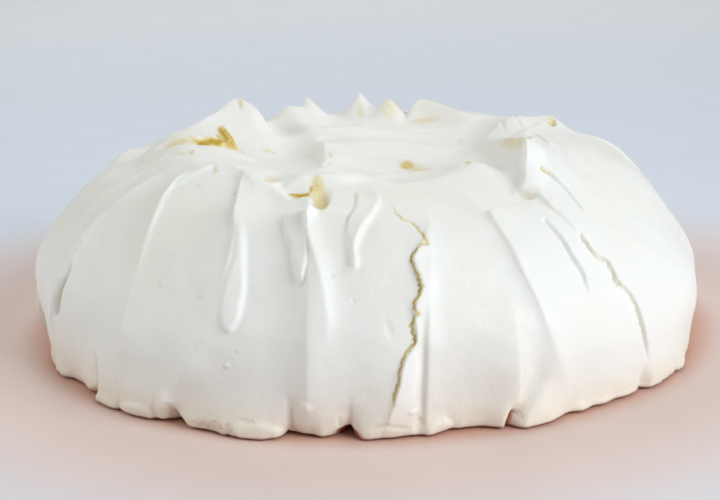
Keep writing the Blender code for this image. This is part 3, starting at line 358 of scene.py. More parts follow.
# Uneven strokes of the back, between these angles: least and most of the lean of each, the arcs of its
# top and foot, its height, and its steep and easy reach, then how often the left side is the steep one,
# the bend, the angle to the next stroke and the hollow between them
BACK_SEED = 11
BACK_FROM = 14
BACK_TO = 160
BACK_SPANS = ((-5, 5), (74, 92), (0, 14), (1.2, 3), (1.2, 2.4), (5, 13))
BACK_LEFT_STEEP = 0.7
BACK_BEND = (-2.5, 2.5)
BACK_GAP = (13, 23)
BACK_HOLLOWS = (0.6, 1.8)

# Stations of a back stroke: shares of its lean, bend, top, foot and height, and of its left reach
BACK_SHAPE = (
    (1, 0, 1, 0, 0, 1), (0.8, 0, 0.86, 0, 1, 1), (0.4, 1, 0.55, 0, 0.9, 1), (0, 1, 0.3, 1, 0.7, 1.4),
    (-0.3, 0, 0, 1, 0, 1.6),
)

# Folds of the crown, drawn in plan: x, y, height, and how far each reaches to the left and the right
# of its run. The crown's shapes come in between these arcs, and each line counts as far away as this
# many times its reach.
CROWN_START = (54, 68)
FOLD_REACH = 5
FOLDS = {
    "right flap": (
        (48.4, -70.5, 0, 1, 7), (49.4, -66.5, 3, 1, 9), (50.2, -61, 6.4, 1, 11), (50.8, -54.5, 8.4, 1, 13),
        (51, -46, 6.6, 1.2, 13), (50, -35, 4.6, 1.6, 12), (48.4, -25, 4.4, 2, 11),
        (45.5, -13, 4.8, 2.4, 10), (42, -5, 3.6, 3, 9), (37, 3, 0, 4, 8),
    ),
    "right brow": (
        (40, -4, 0, 4, 6), (46, 1, 2.6, 4, 6), (52, 3, 2.8, 4, 6), (58, 4, 2, 4, 6), (65, 4, 2, 3, 7),
        (73, 7, 0, 3, 7),
    ),
    "flap top": (
        (37.4, -84, 0, 2, 6), (39.4, -80.5, 1.2, 1, 7), (43, -77.5, 1.2, 1.6, 8), (48, -75, 0.8, 2, 8),
        (54, -74, 0, 2, 8),
    ),
    "left slab edge": (
        (-80, -12, 0, 8, 2), (-72, -14, 1.2, 10, 0.8), (-62, -15.5, 2, 12, 0.6), (-56, -13.6, 2.6, 12, 0.6),
        (-51, -9.8, 2.8, 12, 0.6), (-47, -4, 2.6, 12, 0.7), (-46.8, 4, 2.6, 12, 0.8),
        (-49.6, 14, 2.6, 11, 1), (-52, 24, 1.6, 9, 2), (-50, 34, 0, 8, 3),
    ),
    "left peak side": (
        (-66, 8, 0, 6, 6), (-60, 20, 2, 5, 6), (-56, 28, 3.4, 4.5, 5), (-52, 36, 3.6, 5, 5),
        (-47, 46, 0, 6, 5),
    ),
    "left peak shoulder": (
        (-47, 50, 0, 3, 4), (-43.6, 47, 2, 2, 4), (-40.6, 43.4, 2.6, 1.6, 4), (-38, 39, 2.4, 1.4, 4),
        (-36, 34, 1, 1.4, 3), (-34.6, 29, 0, 2, 3),
    ),
    "front ledge": (
        (-26, -68, 0, 8, 1.5), (-21, -67, 2.6, 9, 1.2), (-15, -66, 3.8, 9, 1.2), (-8, -64.5, 4.4, 9, 1.4),
        (-2, -62, 4, 9, 1.8), (4, -60, 2, 9, 2.5), (10, -58, 0, 8, 3),
    ),
    "front left band": (
        (-70, -18, 0, 4, 9), (-60, -24, 0.8, 3, 9), (-50, -32, 1.2, 3, 9), (-38, -42, 1.4, 4, 9),
        (-29, -51, 1.6, 4, 8), (-21, -64, 1.6, 3, 6), (-16, -74, 0, 3, 5),
    ),
    "first ribbon top": (
        (-63, -60, 0, 3, 1), (-57.5, -55.5, 1.2, 3, 0.8), (-53, -53, 1.8, 4, 0.8),
        (-48.4, -51.2, 2, 4, 0.8), (-43.3, -52.9, 2, 4, 0.8), (-38.5, -59, 1.6, 4, 0.8),
        (-35.5, -64, 0.8, 3, 1), (-33, -70, 0, 3, 1),
    ),
    "front left slab": (
        (-40, -57, 0, 2, 4), (-36, -60, 0.8, 2.4, 4), (-30, -67, 1.3, 3, 2.4), (-25, -74, 1.7, 4, 1),
        (-19, -76, 1.5, 4, 0.8), (-15.5, -79, 0, 2, 2),
    ),
    "bowl edge": (
        (-12, -32, 0, 5, 10), (-13, -24, 2.4, 3, 10), (-14, -12, 3.6, 2, 10), (-14.6, -3, 4.4, 1.4, 11),
        (-15, 5, 4.8, 1.6, 11), (-17, 15, 3.8, 5, 12), (-20, 36, 2.6, 7, 12), (-25, 54, 1.4, 7, 9),
        (-30, 64, 0, 6, 8),
    ),
    "front swirl": ((-4, -52, 0, 8, 9), (8, -50, 0.5, 7, 10), (22, -49, 0.6, 6, 10), (32, -42, 0, 6, 8)),
    "hollow back": (
        (-6, -6, 0, 9, 3), (4, -8, 1, 9, 3), (14, -11.5, 1.7, 9, 2.6), (23, -18, 1.2, 9, 3),
        (31, -28, 0, 8, 4),
    ),
    "right swirl": (
        (26, -58, 0, 4, 6), (30, -48, 0.8, 3.4, 6), (33, -38, 1.3, 3, 6), (33, -27, 0.8, 4, 6),
        (29, -16, 0, 4, 6),
    ),
    "right swirl branch": steady((3, 4), (31, -38, 0), (35, -46, 0.8), (39, -56, 0.8), (43, -66, 0)),
    "middle swirl": (
        (-10, 22, 0, 7, 6), (0, 12, 1.4, 7, 4), (11, 8, 2, 7, 3.4), (22, 2, 1.8, 7, 4), (36, 6, 0, 6, 5),
    ),
    "back swirl": (
        (-20, 46, 0, 5, 7), (-6, 36, 1.2, 5, 8), (10, 34, 1.4, 6, 8), (26, 32, 1.2, 6, 7),
        (42, 26, 0, 5, 6),
    ),
    "back lip": (
        (16.4, 52.6, 0, 3, 2), (19.4, 51.8, 5.6, 4, 1.4), (23, 51.2, 7, 4, 1.2), (29, 48.5, 5.4, 4, 1.4),
        (37, 43, 2.4, 4, 2), (44, 38, 0, 4, 3),
    ),
    "loop": steady((1.6, 2), (53, -30, 0), (54, -20, 1), (57, -12, 1.4), (61, -6, 1), (64, 0, 0)),
}

# Mounds and hollows of the crown: x, y, half width, half length, turn in degrees and height
MOUNDS = {
    "left slab": (-45, -16, 8, 6, 0, 2.6),
    "left bowl": (-27, 16, 12, 26, 8, -4),
    "golden hollow": (13, -24, 16, 12, -14, -1.9),
    "right scoop": (44, -40, 7, 21, 4, -4.5),
    "right plateau": (51, 10, 9, 14, 0, 4.5),
    "bump": (-11, -12, 4, 7, 0, 1.2),
    "front shelf": (6, -60, 22, 7, 0, 0.8),
    "left peak": (-46.5, 44, 8, 9, 30, 5.2),
    "back left lump": (-29, 54, 7, 5, -10, 3.6),
    "tall peak base": (-1, 60, 5.6, 5, 0, 4.6),
    "round lump": (9.6, 54, 5, 4.5, 0, 7),
    "back left peak base": (-19.5, 59, 5, 5, 0, 4.4),
    "right tip base": (66, 2, 6, 6, 0, 1.8),
}

# Sharp little peaks: x, y, radius at the base, height, and how far the tip leans in x and y
PEAK_POINT = 1.6
PEAK_BEND = 2
PEAKS = {
    "back left peak": (-20.5, 61, 3.2, 5, -2.4, 0),
    "tall peak": (-1, 61, 4.4, 4.4, -0.5, 0),
    "right tip": (65, 0, 3.4, 1.6, 1, 0),
}

# Broken-out spots and small holes of the crown, in the same measures as the mounds with a depth.
# The wall of each lies between these shares of its size.
PIT_WALL = (0.4, 1.2)
PITS = {
    "front break": (-14.2, -76.6, 3, 9, -8, 1.8),
    "front break line": (-20.5, -74.2, 4.6, 1.3, 6, 1.2),
    "left break corner": (-44.5, 0, 2, 6, 10, 0.6),
    "left loop": (-46.5, 39, 1.4, 3, 0, 1),
    "right pinhole": (35, -16, 1.5, 2.2, 0, 1.6),
    "under the flap": (50.4, -69.4, 3.2, 1.4, 0, 1.4),
    "right tip hole": (65.2, -2.4, 1.8, 2.8, 0, 2),
    "back pinhole": (35, 13, 1.2, 2, 0, 1),
    "bump pinhole": (-13, -22, 1.4, 3, 0, 1),
    "facet dimple": (-30, -62.5, 3.4, 2.6, 30, 0.8),
}

# Thin creases of the crown, drawn in plan: x, y, depth and half width
CREASES = {
    "left break": steady(
        (0.8,), (-71, -16, 0), (-62, -17.2, 0.6), (-55.6, -15.2, 0.9), (-50, -10.8, 1), (-45.6, -4.6, 0.9),
        (-45.4, 4, 0.5), (-47.6, 12, 0),
    ),
    "flap curl": steady(
        (0.7,), (52, -47, 0), (53.1, -41, 1.2), (54.6, -31, 1.5), (56, -24, 1.5), (57.4, -26, 1.5),
        (58.4, -35, 1.4), (59.4, -41.5, 1.2), (62.2, -41, 1.2), (64.6, -44, 0.8), (66, -47, 0),
    ),
    "tip loop": steady(
        (0.5,), (49, -6, 0), (48.6, 0, 0.8), (50, 6, 0.9), (53, 6, 0.8), (54.5, -2, 0.8), (56, -12, 0),
    ),
}

# Wavelength and size of the unevenness and grain of the crust, and of the crumb in the browned places,
# each made of this many waves, whose lengths vary between these shares
RIPPLES = ((42, 0.5), (17, 0.09), (8, 0.03), (3.4, 0.012), (1.6, 0.008))
CRUMB = ((1.5, 0.16), (0.8, 0.12))
WAVES = 14
WAVE_SPREAD = (0.75, 1.3)

# Browned strokes, drawn in plan: x, y, how brown and half width
STROKES = {
    "left break": (
        (-71, -15, 0, 0.8), (-67.5, -16, 0.42, 1.2), (-62.6, -16.5, 0.45, 1.3), (-60, -15.8, 0.4, 1),
        (-58, -15.4, 0.7, 0.6), (-56, -14.8, 1.05, 0.6), (-53.4, -12.8, 1.05, 0.65), (-50.6, -9.8, 1, 0.8),
        (-49, -5, 0.9, 1.2), (-48.8, 0, 0.95, 1.5), (-50.4, 8, 1, 1.6), (-51.9, 14, 0.9, 1.3),
        (-51.2, 19, 0.4, 1.2), (-50.6, 24, 0, 1),
    ),
    "left break side": (
        (-49, -8, 0, 1), (-47, -4.4, 0.75, 1.5), (-46.4, 2, 0.75, 1.7), (-48, 9, 0.65, 1.6),
        (-49.4, 15, 0, 1.2),
    ),
    "left break glow": (
        (-62, -15, 0, 1), (-58.4, -14.2, 0.34, 1), (-55, -12.4, 0.36, 1.1), (-52, -9.8, 0.36, 1.2),
        (-50, -6, 0.5, 1.6), (-49, 0, 0, 1.6),
    ),
    "front break line": (
        (-24.6, -72, 0, 0.8), (-23, -72.5, 0.85, 0.9), (-20.4, -73, 0.95, 0.9), (-18.6, -72.9, 0.9, 0.8),
        (-16.6, -71.8, 0.6, 0.7),
    ),
    "upper slit": ((55, -61.6, 0.5, 0.6), (58, -62.3, 0.6, 0.6), (60, -63.2, 0, 0.5)),
    "scoop top": (
        (45, -10, 0, 1.4), (46.9, -19.4, 0.34, 1.5), (48.4, -27.6, 0.42, 1.5), (49.9, -39.1, 0.4, 1.3),
        (50.6, -46, 0.34, 1.2), (51, -51, 0, 1),
    ),
    "flap curl": steady((0.8,), (51.2, -48, 0), (52.4, -42, 0.35), (53.4, -37, 0.3), (54.6, -30, 0)),
}

# Browned patches drawn in plan, a few of them painted shade under overhangs, and painted highlights
# below 0: x, y, half width, half length, turn, how brown and softness of the edge
TINTS = {
    "left break arm": (-49.6, 8.5, 2.8, 9, 16, 0.74, 0.35),
    "left break elbow": (-50, 1.5, 2.8, 6, 14, 0.68, 0.35),
    "left break base": (-48.6, -3.6, 2.8, 5.4, -16, 0.72, 0.35),
    "left crease": (-63.6, -28, 1.2, 4.6, 67, 0.24, 0.5),
    "front break": (-13.9, -77, 2.7, 9, 2, 0.5, 0.3),
    "front break head": (-15.1, -70.6, 2.7, 5, 0, 0.5, 0.35),
    "front break rim": (-17, -70.2, 0.6, 1.8, -8, 0.8, 0.6),
    "front break top": (-15.2, -68.2, 0.8, 0.5, 0, 0.65, 0.6),
    "golden hollow": (17.6, -21.4, 3.8, 9, 30, 0.42, 0.7),
    "golden hollow core": (14.4, -16, 2.5, 3.4, 20, 0.66, 0.6),
    "right pinhole": (33.1, -48, 1.2, 2.2, 0, 0.6, 0.6),
    "back pinhole": (34.7, 9, 1.2, 3, 0, 0.25, 0.6),
    "plateau edge": (-12, -12.5, 1.2, 4, 0, 0.36, 0.5),
    "slab spot": (-48, -52.8, 0.9, 1.6, 0, 0.35, 0.6),
    "facet spots": (-30, -62, 2.8, 2.4, 20, 0.34, 0.6),
    "faint spot": (-34.8, 12.6, 2.8, 3, 0, 0.36, 0.6),
    "left loop": (-46.4, 41, 1.4, 2.6, 0, 0.4, 0.6),
    "fleck": (-57.6, -32.1, 1.2, 2.2, 0, 0.5, 0.5),
    "tall peak shade": (-1.2, 55, 1.8, 3, 0, 0.35, 0.6),
    "round lump": (9.9, 52, 4, 4.4, 0, 0.32, 0.6),
    # Golden underside of the back lip, darkened further as painted shade under its overhang
    "under the back lip": (23, 46, 6.4, 2.2, -14, 0.36, 0.6),
    "back left lump": (-30, 53, 6, 4, 0, 0.12, 0.6),
    # Painted shade under the flap's lower edge
    "under the flap": (50.4, -69.6, 3.2, 1.3, 0, 0.3, 0.5),
    "right tip": (65.2, -2, 2.2, 3.4, 0, 0.42, 0.5),
    "highlight on the flap": (53.4, -57, 3.8, 13, 0, -0.9, 0.4),
    "highlight on the ribbon ledge": (-45, -53.6, 2, 8, 59, -0.6, 0.5),
    "highlight by the front break": (-27, -69, 7, 6, 0, -0.6, 0.5),
    "highlight on the left peak": (-38, 37, 4, 8, 0, -0.6, 0.5),
}

# How brown each crack is for its depth, how much wider that is than the opening, and how brown a place
# can be and still take a painted highlight
CRACK_SHARE = {"front crack": 1.35, "right crack": 0.24}
CRACK_WIDER = 1.5
HIGHLIGHT_LIMIT = 0.06

# Spacing of the fine surface: round the back, round the front, beside the cracks, up the side and over
# the top
BACK_STEP = 1.3
FRONT_STEP = 0.55
CRACK_STEP = 0.34
SIDE_STEP = 0.48
TOP_STEP = 0.75

# Angles between which the front ends on either side, degrees beside a crack that have its spacing, and
# angles tried to place the columns. From each of the arcs on, fewer columns go further: 1 in 2, then 4.
FRONT_RIGHT_END = (-12, 12)
FRONT_LEFT_END = (160, 180)
CRACK_WIDE = 9
TRIAL_ANGLES = 7200
FEWER_FROM = (124, 150)
SKIPS = (1, 2, 4)

# Colours of the crust, its painted highlights, its warm patches, its painted warm bounce and shade at the
# foot, of the browned insides, the darkest caramel, and the painted dark shade of the contact line and low
# hollows
WHITE = (0.88, 0.875, 0.85, 1)
HIGHLIGHT_COLOR = (0.97, 0.97, 0.955, 1)
CREAM = (0.86, 0.82, 0.74, 1)
FOOT_BOUNCE_TONE = (0.82, 0.74, 0.66, 1)
FOOT_WARM_SHADE = (0.78, 0.64, 0.46, 1)
GOLD = (0.72, 0.56, 0.16, 1)
CARAMEL = (0.48, 0.3, 0.035, 1)
PAINTED_SHADE = (0.36, 0.12, 0.05, 1)

# How a colour comes in with height in metres or with brownness: from, to, and its shares there
FOOT_BOUNCE_BAND = (0.002, 0.024, 0.28, 0)
FOOT_WARM_SHADE_BAND = (0.001, 0.013, 0.36, 0)
CONTACT_SHADE_BAND = (0.0003, 0.0016, 0.9, 0)
HOLLOW_SHADE_BAND = (0.0045, 0.0095, 1, 0)
HIGHLIGHT_BAND = (-1, 0, 1, 0)
INSIDE_TONE = (0.06, 0.8)
CARAMEL_TONE = (0.6, 1)
ROUGH_INSIDE = (0, 1, 0, 0.3)

# Noises: scale, the noise between which it comes in, and what it gives there
NOISE_DETAIL = 3
PATCHES = (22, 0.45, 0.75, 0, 0.5)
CRUMB_TONE = (900, 0.3, 0.7, -0.06, 0.06)
SATIN = (160, 0.3, 0.7, 0.42, 0.56)
FLOOR_MOTTLE = (40, 0.3, 0.7, 0.98, 1)
BUMP_SCALE = 700
BUMP = {"Strength": 0.12, "Distance": 0.0003}
CRUST_SHADER = {
    "Subsurface Weight": 0.2, "Subsurface Radius": (1, 0.8, 0.55), "Subsurface Scale": 0.004,
    "Specular IOR Level": 0.4,
}

# Camera: what it looks at, how far it stands off, its height in degrees and its roll
LOOK_AT = (-0.0030, -0.01087, 0.028)
DISTANCE = 0.55
ELEVATION = 15.4
ROLL = -1.0
LENS = 78

# Floor: its size, its colour beside the shell, which paints a reddish contact shadow and glow round the
# foot, and from where to where it turns into the next colours
FLOOR_SIZE = 12
FLOOR_ROUGH = 0.5
FLOOR_CONTACT_SHADE = (0.64, 0.37, 0.28, 1)
FLOOR_BANDS = (
    (0.114, 0.128, (0.8, 0.64, 0.6, 1)), (0.135, 0.225, (0.72, 0.79, 0.92, 1)),
    (0.3, 1.2, (0.89, 0.95, 1, 1)),
)

# Lights (place, size in metres, power in watts, colour), what they point at, and the sky
LIT_PLACE = (0, 0, 0.03)
LIGHTS = {
    "window": ((1.064, -0.745, 0.78), 1, 17, (0.92, 0.97, 1)),
    "back": ((0, 1.229, 0.89), 1, 4, (1, 0.99, 1)),
    "left": ((-1.299, 0, 0.78), 1, 8, (0.96, 1, 0.98)),
}
SKY_COLOR = (1, 0.975, 0.895, 1)
SKY_STRENGTH = 0.32


def spline(stations, spots):
    """Rows of numbers along a smooth curve through stations."""
    rows = np.array(stations, float)
    ends = np.vstack([2 * rows[0] - rows[1], rows, 2 * rows[-1] - rows[-2]])
    t = np.linspace(0, 1, spots, endpoint=False)[:, None]
    pieces = []
    for a, b, c, d in zip(ends, ends[1:], ends[2:], ends[3:]):
        cubic = (3 * b - a - 3 * c + d) * t**3
        square = (2 * a - 5 * b + 4 * c - d) * t**2
        pieces.append(0.5 * (2 * b + (c - a) * t + square + cubic))
    return np.vstack([*pieces, rows[-1:]])


def rise(low, high, value):
    """0 below low, 1 above high, and smooth between."""
    t = np.clip((value - low) / (high - low), 0, 1)
    return t * t * (3 - 2 * t)


def turned(degrees):
    """The same angle between -180 and 180."""
    return (degrees + 180) % 360 - 180


def dome_run():
    """The dome's profile as a fine curve, with the arc at each of its points."""
    curve = spline(PROFILE, PROFILE_SPOTS)
    steps = np.hypot(*np.diff(curve, axis=0).T)
    return curve, np.concatenate([[0], np.cumsum(steps)])


def plain_dome(arc):
    """Radius, height, and outward normal (radial and upward) of the plain dome at each arc."""
    curve, run = dome_run()
    radius = np.interp(arc, run, curve[:, 0])
    height = np.interp(arc, run, curve[:, 1])
    slope_r = np.gradient(radius, arc)
    slope_z = np.gradient(height, arc)
    length = np.hypot(slope_r, slope_z)
    return radius, height, slope_z / length, -slope_r / length


def ring(stations, angle):
    """A value that varies smoothly all the way round."""
    rows = spline(stations, RING_SPOTS)
    return np.interp(turned(angle), rows[:, 0], rows[:, 1])


def side_gap(line, angle, arc, radius):
    """Distance to the right of a line down the side, square to the line."""
    rows = line[np.argsort(line[:, 1])]
    middle = np.interp(arc, rows[:, 1], rows[:, 0])
    slope = np.interp(arc, rows[:, 1], np.gradient(rows[:, 0], rows[:, 1]))
    across = np.radians(turned(angle - middle)) * radius
    return across / np.hypot(1, np.radians(slope) * radius)


def at_arc(line, arc, column):
    rows = line[np.argsort(line[:, 1])]
    return np.interp(arc, rows[:, 1], rows[:, column])


def at_place(line, place, column):
    return np.interp(place, np.arange(len(line)), line[:, column])


def crest(gap, left, right):
    """1 on the line, falling away over the reach on either side, and rounded off at the top."""
    reach = np.where(gap < 0, left, right)
    blunt = CREST_ROUND * np.minimum(left, right)
    return np.exp(-(np.hypot(gap, blunt) - blunt) / reach)


def ridge_height(stations, angle, arc, radius):
    """Height of a ridge, and how far it leans over its steep side."""
    line = spline(stations, LINE_SPOTS)
    gap = side_gap(line, angle, arc, radius)
    left, right = at_arc(line, arc, 3), at_arc(line, arc, 4)
    height = np.maximum(at_arc(line, arc, 2), 0) * crest(gap, left, right)
    steepness = (left - right) / (left + right)
    return height, CURL * height * steepness * crest(gap, CURL_REACH, CURL_REACH)


def groove_depth(stations, angle, arc, radius):
    line = spline(stations, LINE_SPOTS)
    gap = side_gap(line, angle, arc, radius)
    reach = np.where(gap < 0, at_arc(line, arc, 3), at_arc(line, arc, 4))
    return np.maximum(at_arc(line, arc, 2), 0) * np.exp(-((gap / reach) ** 2))


def jagged(stations, seed):
    """The line broken into short uneven steps, each thrown a little to one side."""
    chance = np.random.default_rng(seed)
    stations = np.array(stations, float)
    rows = [stations[0]]
    for start, end in zip(stations, stations[1:]):
        run = np.hypot((end[0] - start[0]) * MM_PER_DEGREE, end[1] - start[1])
        count = max(1, round(run / JAG_STEP))
        for part in range(1, count + 1):
            row = start + (end - start) * part / count
            row[0] += chance.uniform(-JAG_THROW, JAG_THROW) / MM_PER_DEGREE
            row[1] += chance.uniform(-JAG_THROW, JAG_THROW)
            rows.append(row)
    return np.array(rows)


def plan_gap(line, x, y):
    """Signed distance from a line drawn in plan, positive to its right, and the place along it."""
    nearest = np.full(x.shape, np.inf)
    gap = np.zeros(x.shape)
    place = np.zeros(x.shape)
    for index, (start, end) in enumerate(zip(line, line[1:])):
        run_x, run_y = end[0] - start[0], end[1] - start[1]
        length = np.hypot(run_x, run_y)
        part = np.clip(((x - start[0]) * run_x + (y - start[1]) * run_y) / length**2, 0, 1)
        off_x = x - start[0] - part * run_x
        off_y = y - start[1] - part * run_y
        away = np.hypot(off_x, off_y)
        side = np.where(off_x * run_y - off_y * run_x < 0, -1, 1)
        nearer = away < nearest
        nearest = np.where(nearer, away, nearest)
        gap = np.where(nearer, side * away, gap)
        place = np.where(nearer, index + part, place)
    return gap, place


def near_line(stations, x, y):
    """A smooth line drawn in plan, the points near it, and their gaps from it and places along it."""
    line = spline(stations, FOLD_SPOTS)
    far = FOLD_REACH * line[:, 3:].max()
    low = line[:, :2].min(0) - far
    high = line[:, :2].max(0) + far
    near = (x > low[0]) & (x < high[0]) & (y > low[1]) & (y < high[1])
    return line, near, *plan_gap(line, x[near], y[near])


def opening(line, gap, place):
    """Depth of a narrow opening along a line whose last numbers are its depth and half width."""
    depth = np.maximum(at_place(line, place, 2), 0)
    return depth * np.exp(-((gap / at_place(line, place, 3)) ** 2))


def crack_depth(line, angle, arc, radius):
    """Depth of a crack or slit of the side, worked out only near its line."""
    centre = line[:, 0].mean()
    across = np.radians(turned(angle - centre)) * radius
    line_radius = np.interp(line[:, 1], arc[:, 0], radius[:, 0])
    unrolled = np.stack([np.radians(line[:, 0] - centre) * line_radius, line[:, 1]], 1)
    near = np.abs(across) < CRACK_REACH
    total = np.zeros_like(across)
    total[near] = opening(line, *plan_gap(unrolled, across[near], arc[near]))
    return total


def crease_depth(stations, x, y):
    line, near, gap, place = near_line(stations, x, y)
    total = np.zeros_like(x)
    total[near] = opening(line, gap, place)
    return total


def fold_height(stations, x, y):
    line, near, gap, place = near_line(stations, x, y)
    height = np.maximum(at_place(line, place, 2), 0)
    total = np.zeros_like(x)
    total[near] = height * crest(gap, at_place(line, place, 3), at_place(line, place, 4))
    return total


def tongue_height(edges, thickness, soft, angle, arc, radius):
    """Height of a tongue, whose edges are rows of arc, left angle and right angle."""
    line = spline(edges, LINE_SPOTS)
    inside_left = rise(-soft, soft, side_gap(line[:, (1, 0)], angle, arc, radius))
    inside_right = rise(-soft, soft, -side_gap(line[:, (2, 0)], angle, arc, radius))
    top, end = line[0, 0], line[-1, 0]
    tip = rise(end - soft, end + soft, arc)
    root = 1 - rise(top - TONGUE_ROOT, top, arc)
    return thickness * inside_left * inside_right * tip * root


def oval(x0, y0, wide, long, turn, x, y):
    """Distance from the middle of a turned oval, where 1 is its edge."""
    c, s = np.cos(np.radians(turn)), np.sin(np.radians(turn))
    across = (c * (x - x0) + s * (y - y0)) / wide
    along = (c * (y - y0) - s * (x - x0)) / long
    return np.hypot(across, along)


def oval_share(place, soft, x, y):
    """1 inside an oval and 0 outside it, with an edge of this softness."""
    return 1 - rise(1 - soft, 1 + soft, oval(*place, x, y))


def spot_share(angle0, arc0, wide, long, turn, soft, angle, arc, radius):
    """1 inside a turned oval of the side and 0 outside it."""
    across = np.radians(turned(angle - angle0)) * radius
    return oval_share((0, arc0, wide, long, turn), soft, across, arc)


def all_spots():
    return [*SPOTS.values(), *((*place, *SPECK) for place in SPECKS)]


def back_strokes():
    """Uneven ridges for the back of the shell, in the manner of the front ones."""
    chance = np.random.default_rng(BACK_SEED)
    angle = BACK_FROM
    strokes = []
    while angle < BACK_TO:
        lean, top, foot, height, steep, easy = (chance.uniform(*span) for span in BACK_SPANS)
        left, right = (steep, easy) if chance.random() < BACK_LEFT_STEEP else (easy, steep)
        bend = chance.uniform(*BACK_BEND)
        stations = []
        for a, b, c, d, e, f in BACK_SHAPE:
            stations.append((angle + a * lean + b * bend, c * top + d * foot, e * height, f * left, right))
        strokes.append(stations)
        angle += chance.uniform(*BACK_GAP)
    return strokes


def panel_lines():
    """Every panel line from the left round to the right again, with the hollow after each."""
    lines = [np.array(line, float) for line in PANEL_LINES]
    for stroke in back_strokes():
        rows = np.array(stroke)[::-1, :2]
        lines.append(np.array([(rows[0, 0], 0), *rows[1:], (rows[-1, 0], RIM_ARC)]))
    chance = np.random.default_rng(BACK_SEED)
    hollows = [*PANEL_HOLLOWS, *chance.uniform(*BACK_HOLLOWS, len(lines) - len(PANEL_HOLLOWS))]
    return lines, hollows


def panel_hollows(angle, arc):
    """Shallow hollows between the panel lines, which leave the lines standing as edges."""
    lines, hollows = panel_lines()
    low, full, start, gone = PANEL_FADE
    fade = (PANEL_FOOT + (1 - PANEL_FOOT) * rise(low, full, arc)) * (1 - rise(start, gone, arc))
    total = np.zeros_like(angle)
    for line, after, depth in zip(lines, lines[1:] + lines[:1], hollows):
        here = np.interp(arc, line[:, 1], line[:, 0])
        width = (np.interp(arc, after[:, 1], after[:, 0]) - here) % 360
        share = ((angle - here) % 360) / width
        total -= np.where(share < 1, depth * 4 * share * (1 - share), 0) * fade
    return total


def ripple(x, y, z, length, seed):
    """Smooth unevenness of about this wavelength."""
    chance = np.random.default_rng(seed)
    total = np.zeros_like(x)
    for _ in range(WAVES):
        way = chance.normal(size=3)
        way *= 2 * np.pi / length * chance.uniform(*WAVE_SPREAD) / np.linalg.norm(way)
        total += np.cos(way[0] * x + way[1] * y + way[2] * z + chance.uniform(0, 2 * np.pi))
    return total * np.sqrt(2 / WAVES)


def side_push(angle, arc, radius):
    """How far the side stands out from the plain dome, and how far its ridges curl over sideways."""
    push = panel_hollows(angle, arc)
    curl = np.zeros_like(push)
    for stations in [*RIDGES.values(), *back_strokes()]:
        height, lean = ridge_height(stations, angle, arc, radius)
        push += height
        curl += lean
    for tongue in TONGUES.values():
        push += tongue_height(*tongue, angle, arc, radius)
    for stations in GROOVES.values():
        push -= groove_depth(stations, angle, arc, radius)
    for seed, stations in enumerate(CRACKS.values()):
        push -= crack_depth(jagged(stations, seed), angle, arc, radius)
    for stations in SLITS.values():
        push -= crack_depth(spline(stations, LINE_SPOTS), angle, arc, radius)
    for *place, height, _, soft in all_spots():
        push += height * spot_share(*place, soft, angle, arc, radius)
    for angle0, arc0, wide, long, height in SWELLS.values():
        push += height * np.exp(-((turned(angle - angle0) / wide) ** 2) - ((arc - arc0) / long) ** 2)
    return push, curl


def crown_lift(x, y):
    """How far the top is raised, and how far its peaks lean in x and y."""
    lift, shift_x, shift_y = np.zeros((3, *x.shape))
    for stations in FOLDS.values():
        lift += fold_height(stations, x, y)
    for *place, height in MOUNDS.values():
        lift += height * np.exp(-(oval(*place, x, y) ** 2))
    for *place, depth in PITS.values():
        lift -= depth * (1 - rise(*PIT_WALL, oval(*place, x, y)))
    for stations in CREASES.values():
        lift -= crease_depth(stations, x, y)
    for x0, y0, base, height, lean_x, lean_y in PEAKS.values():
        away = np.hypot(x - x0, y - y0) / base
        lift += height * np.exp(-PEAK_POINT * away)
        shift_x += lean_x * np.exp(-PEAK_BEND * away)
        shift_y += lean_y * np.exp(-PEAK_BEND * away)
    return lift, shift_x, shift_y


def browning_and_painted_light(angle, arc, radius, x, y):
    """How brown it is: 0 on the crust, 1 deep in a break, up to 1 also where shade is painted into
    recesses, and below 0 where a highlight is painted.
    """
    marks = []
    for seed, (name, stations) in enumerate(CRACKS.items()):
        wide = jagged(stations, seed) * (1, 1, CRACK_SHARE[name], CRACK_WIDER)
        marks.append(crack_depth(wide, angle, arc, radius))
    for *place, _, share, soft in all_spots():
        marks.append(share * spot_share(*place, soft, angle, arc, radius))
    crown = rise(*CROWN_START, arc)
    for stations in STROKES.values():
        marks.append(crown * crease_depth(stations, x, y))
    for *place, share, soft in TINTS.values():
        marks.append(crown * share * oval_share(place, soft, x, y))
    brown_and_painted_light, pale = np.zeros((2, *x.shape))
    for mark in marks:
        brown_and_painted_light = np.maximum(brown_and_painted_light, mark)
        pale = np.minimum(pale, mark)
    return brown_and_painted_light + pale * (1 - rise(0, HIGHLIGHT_LIMIT, brown_and_painted_light))


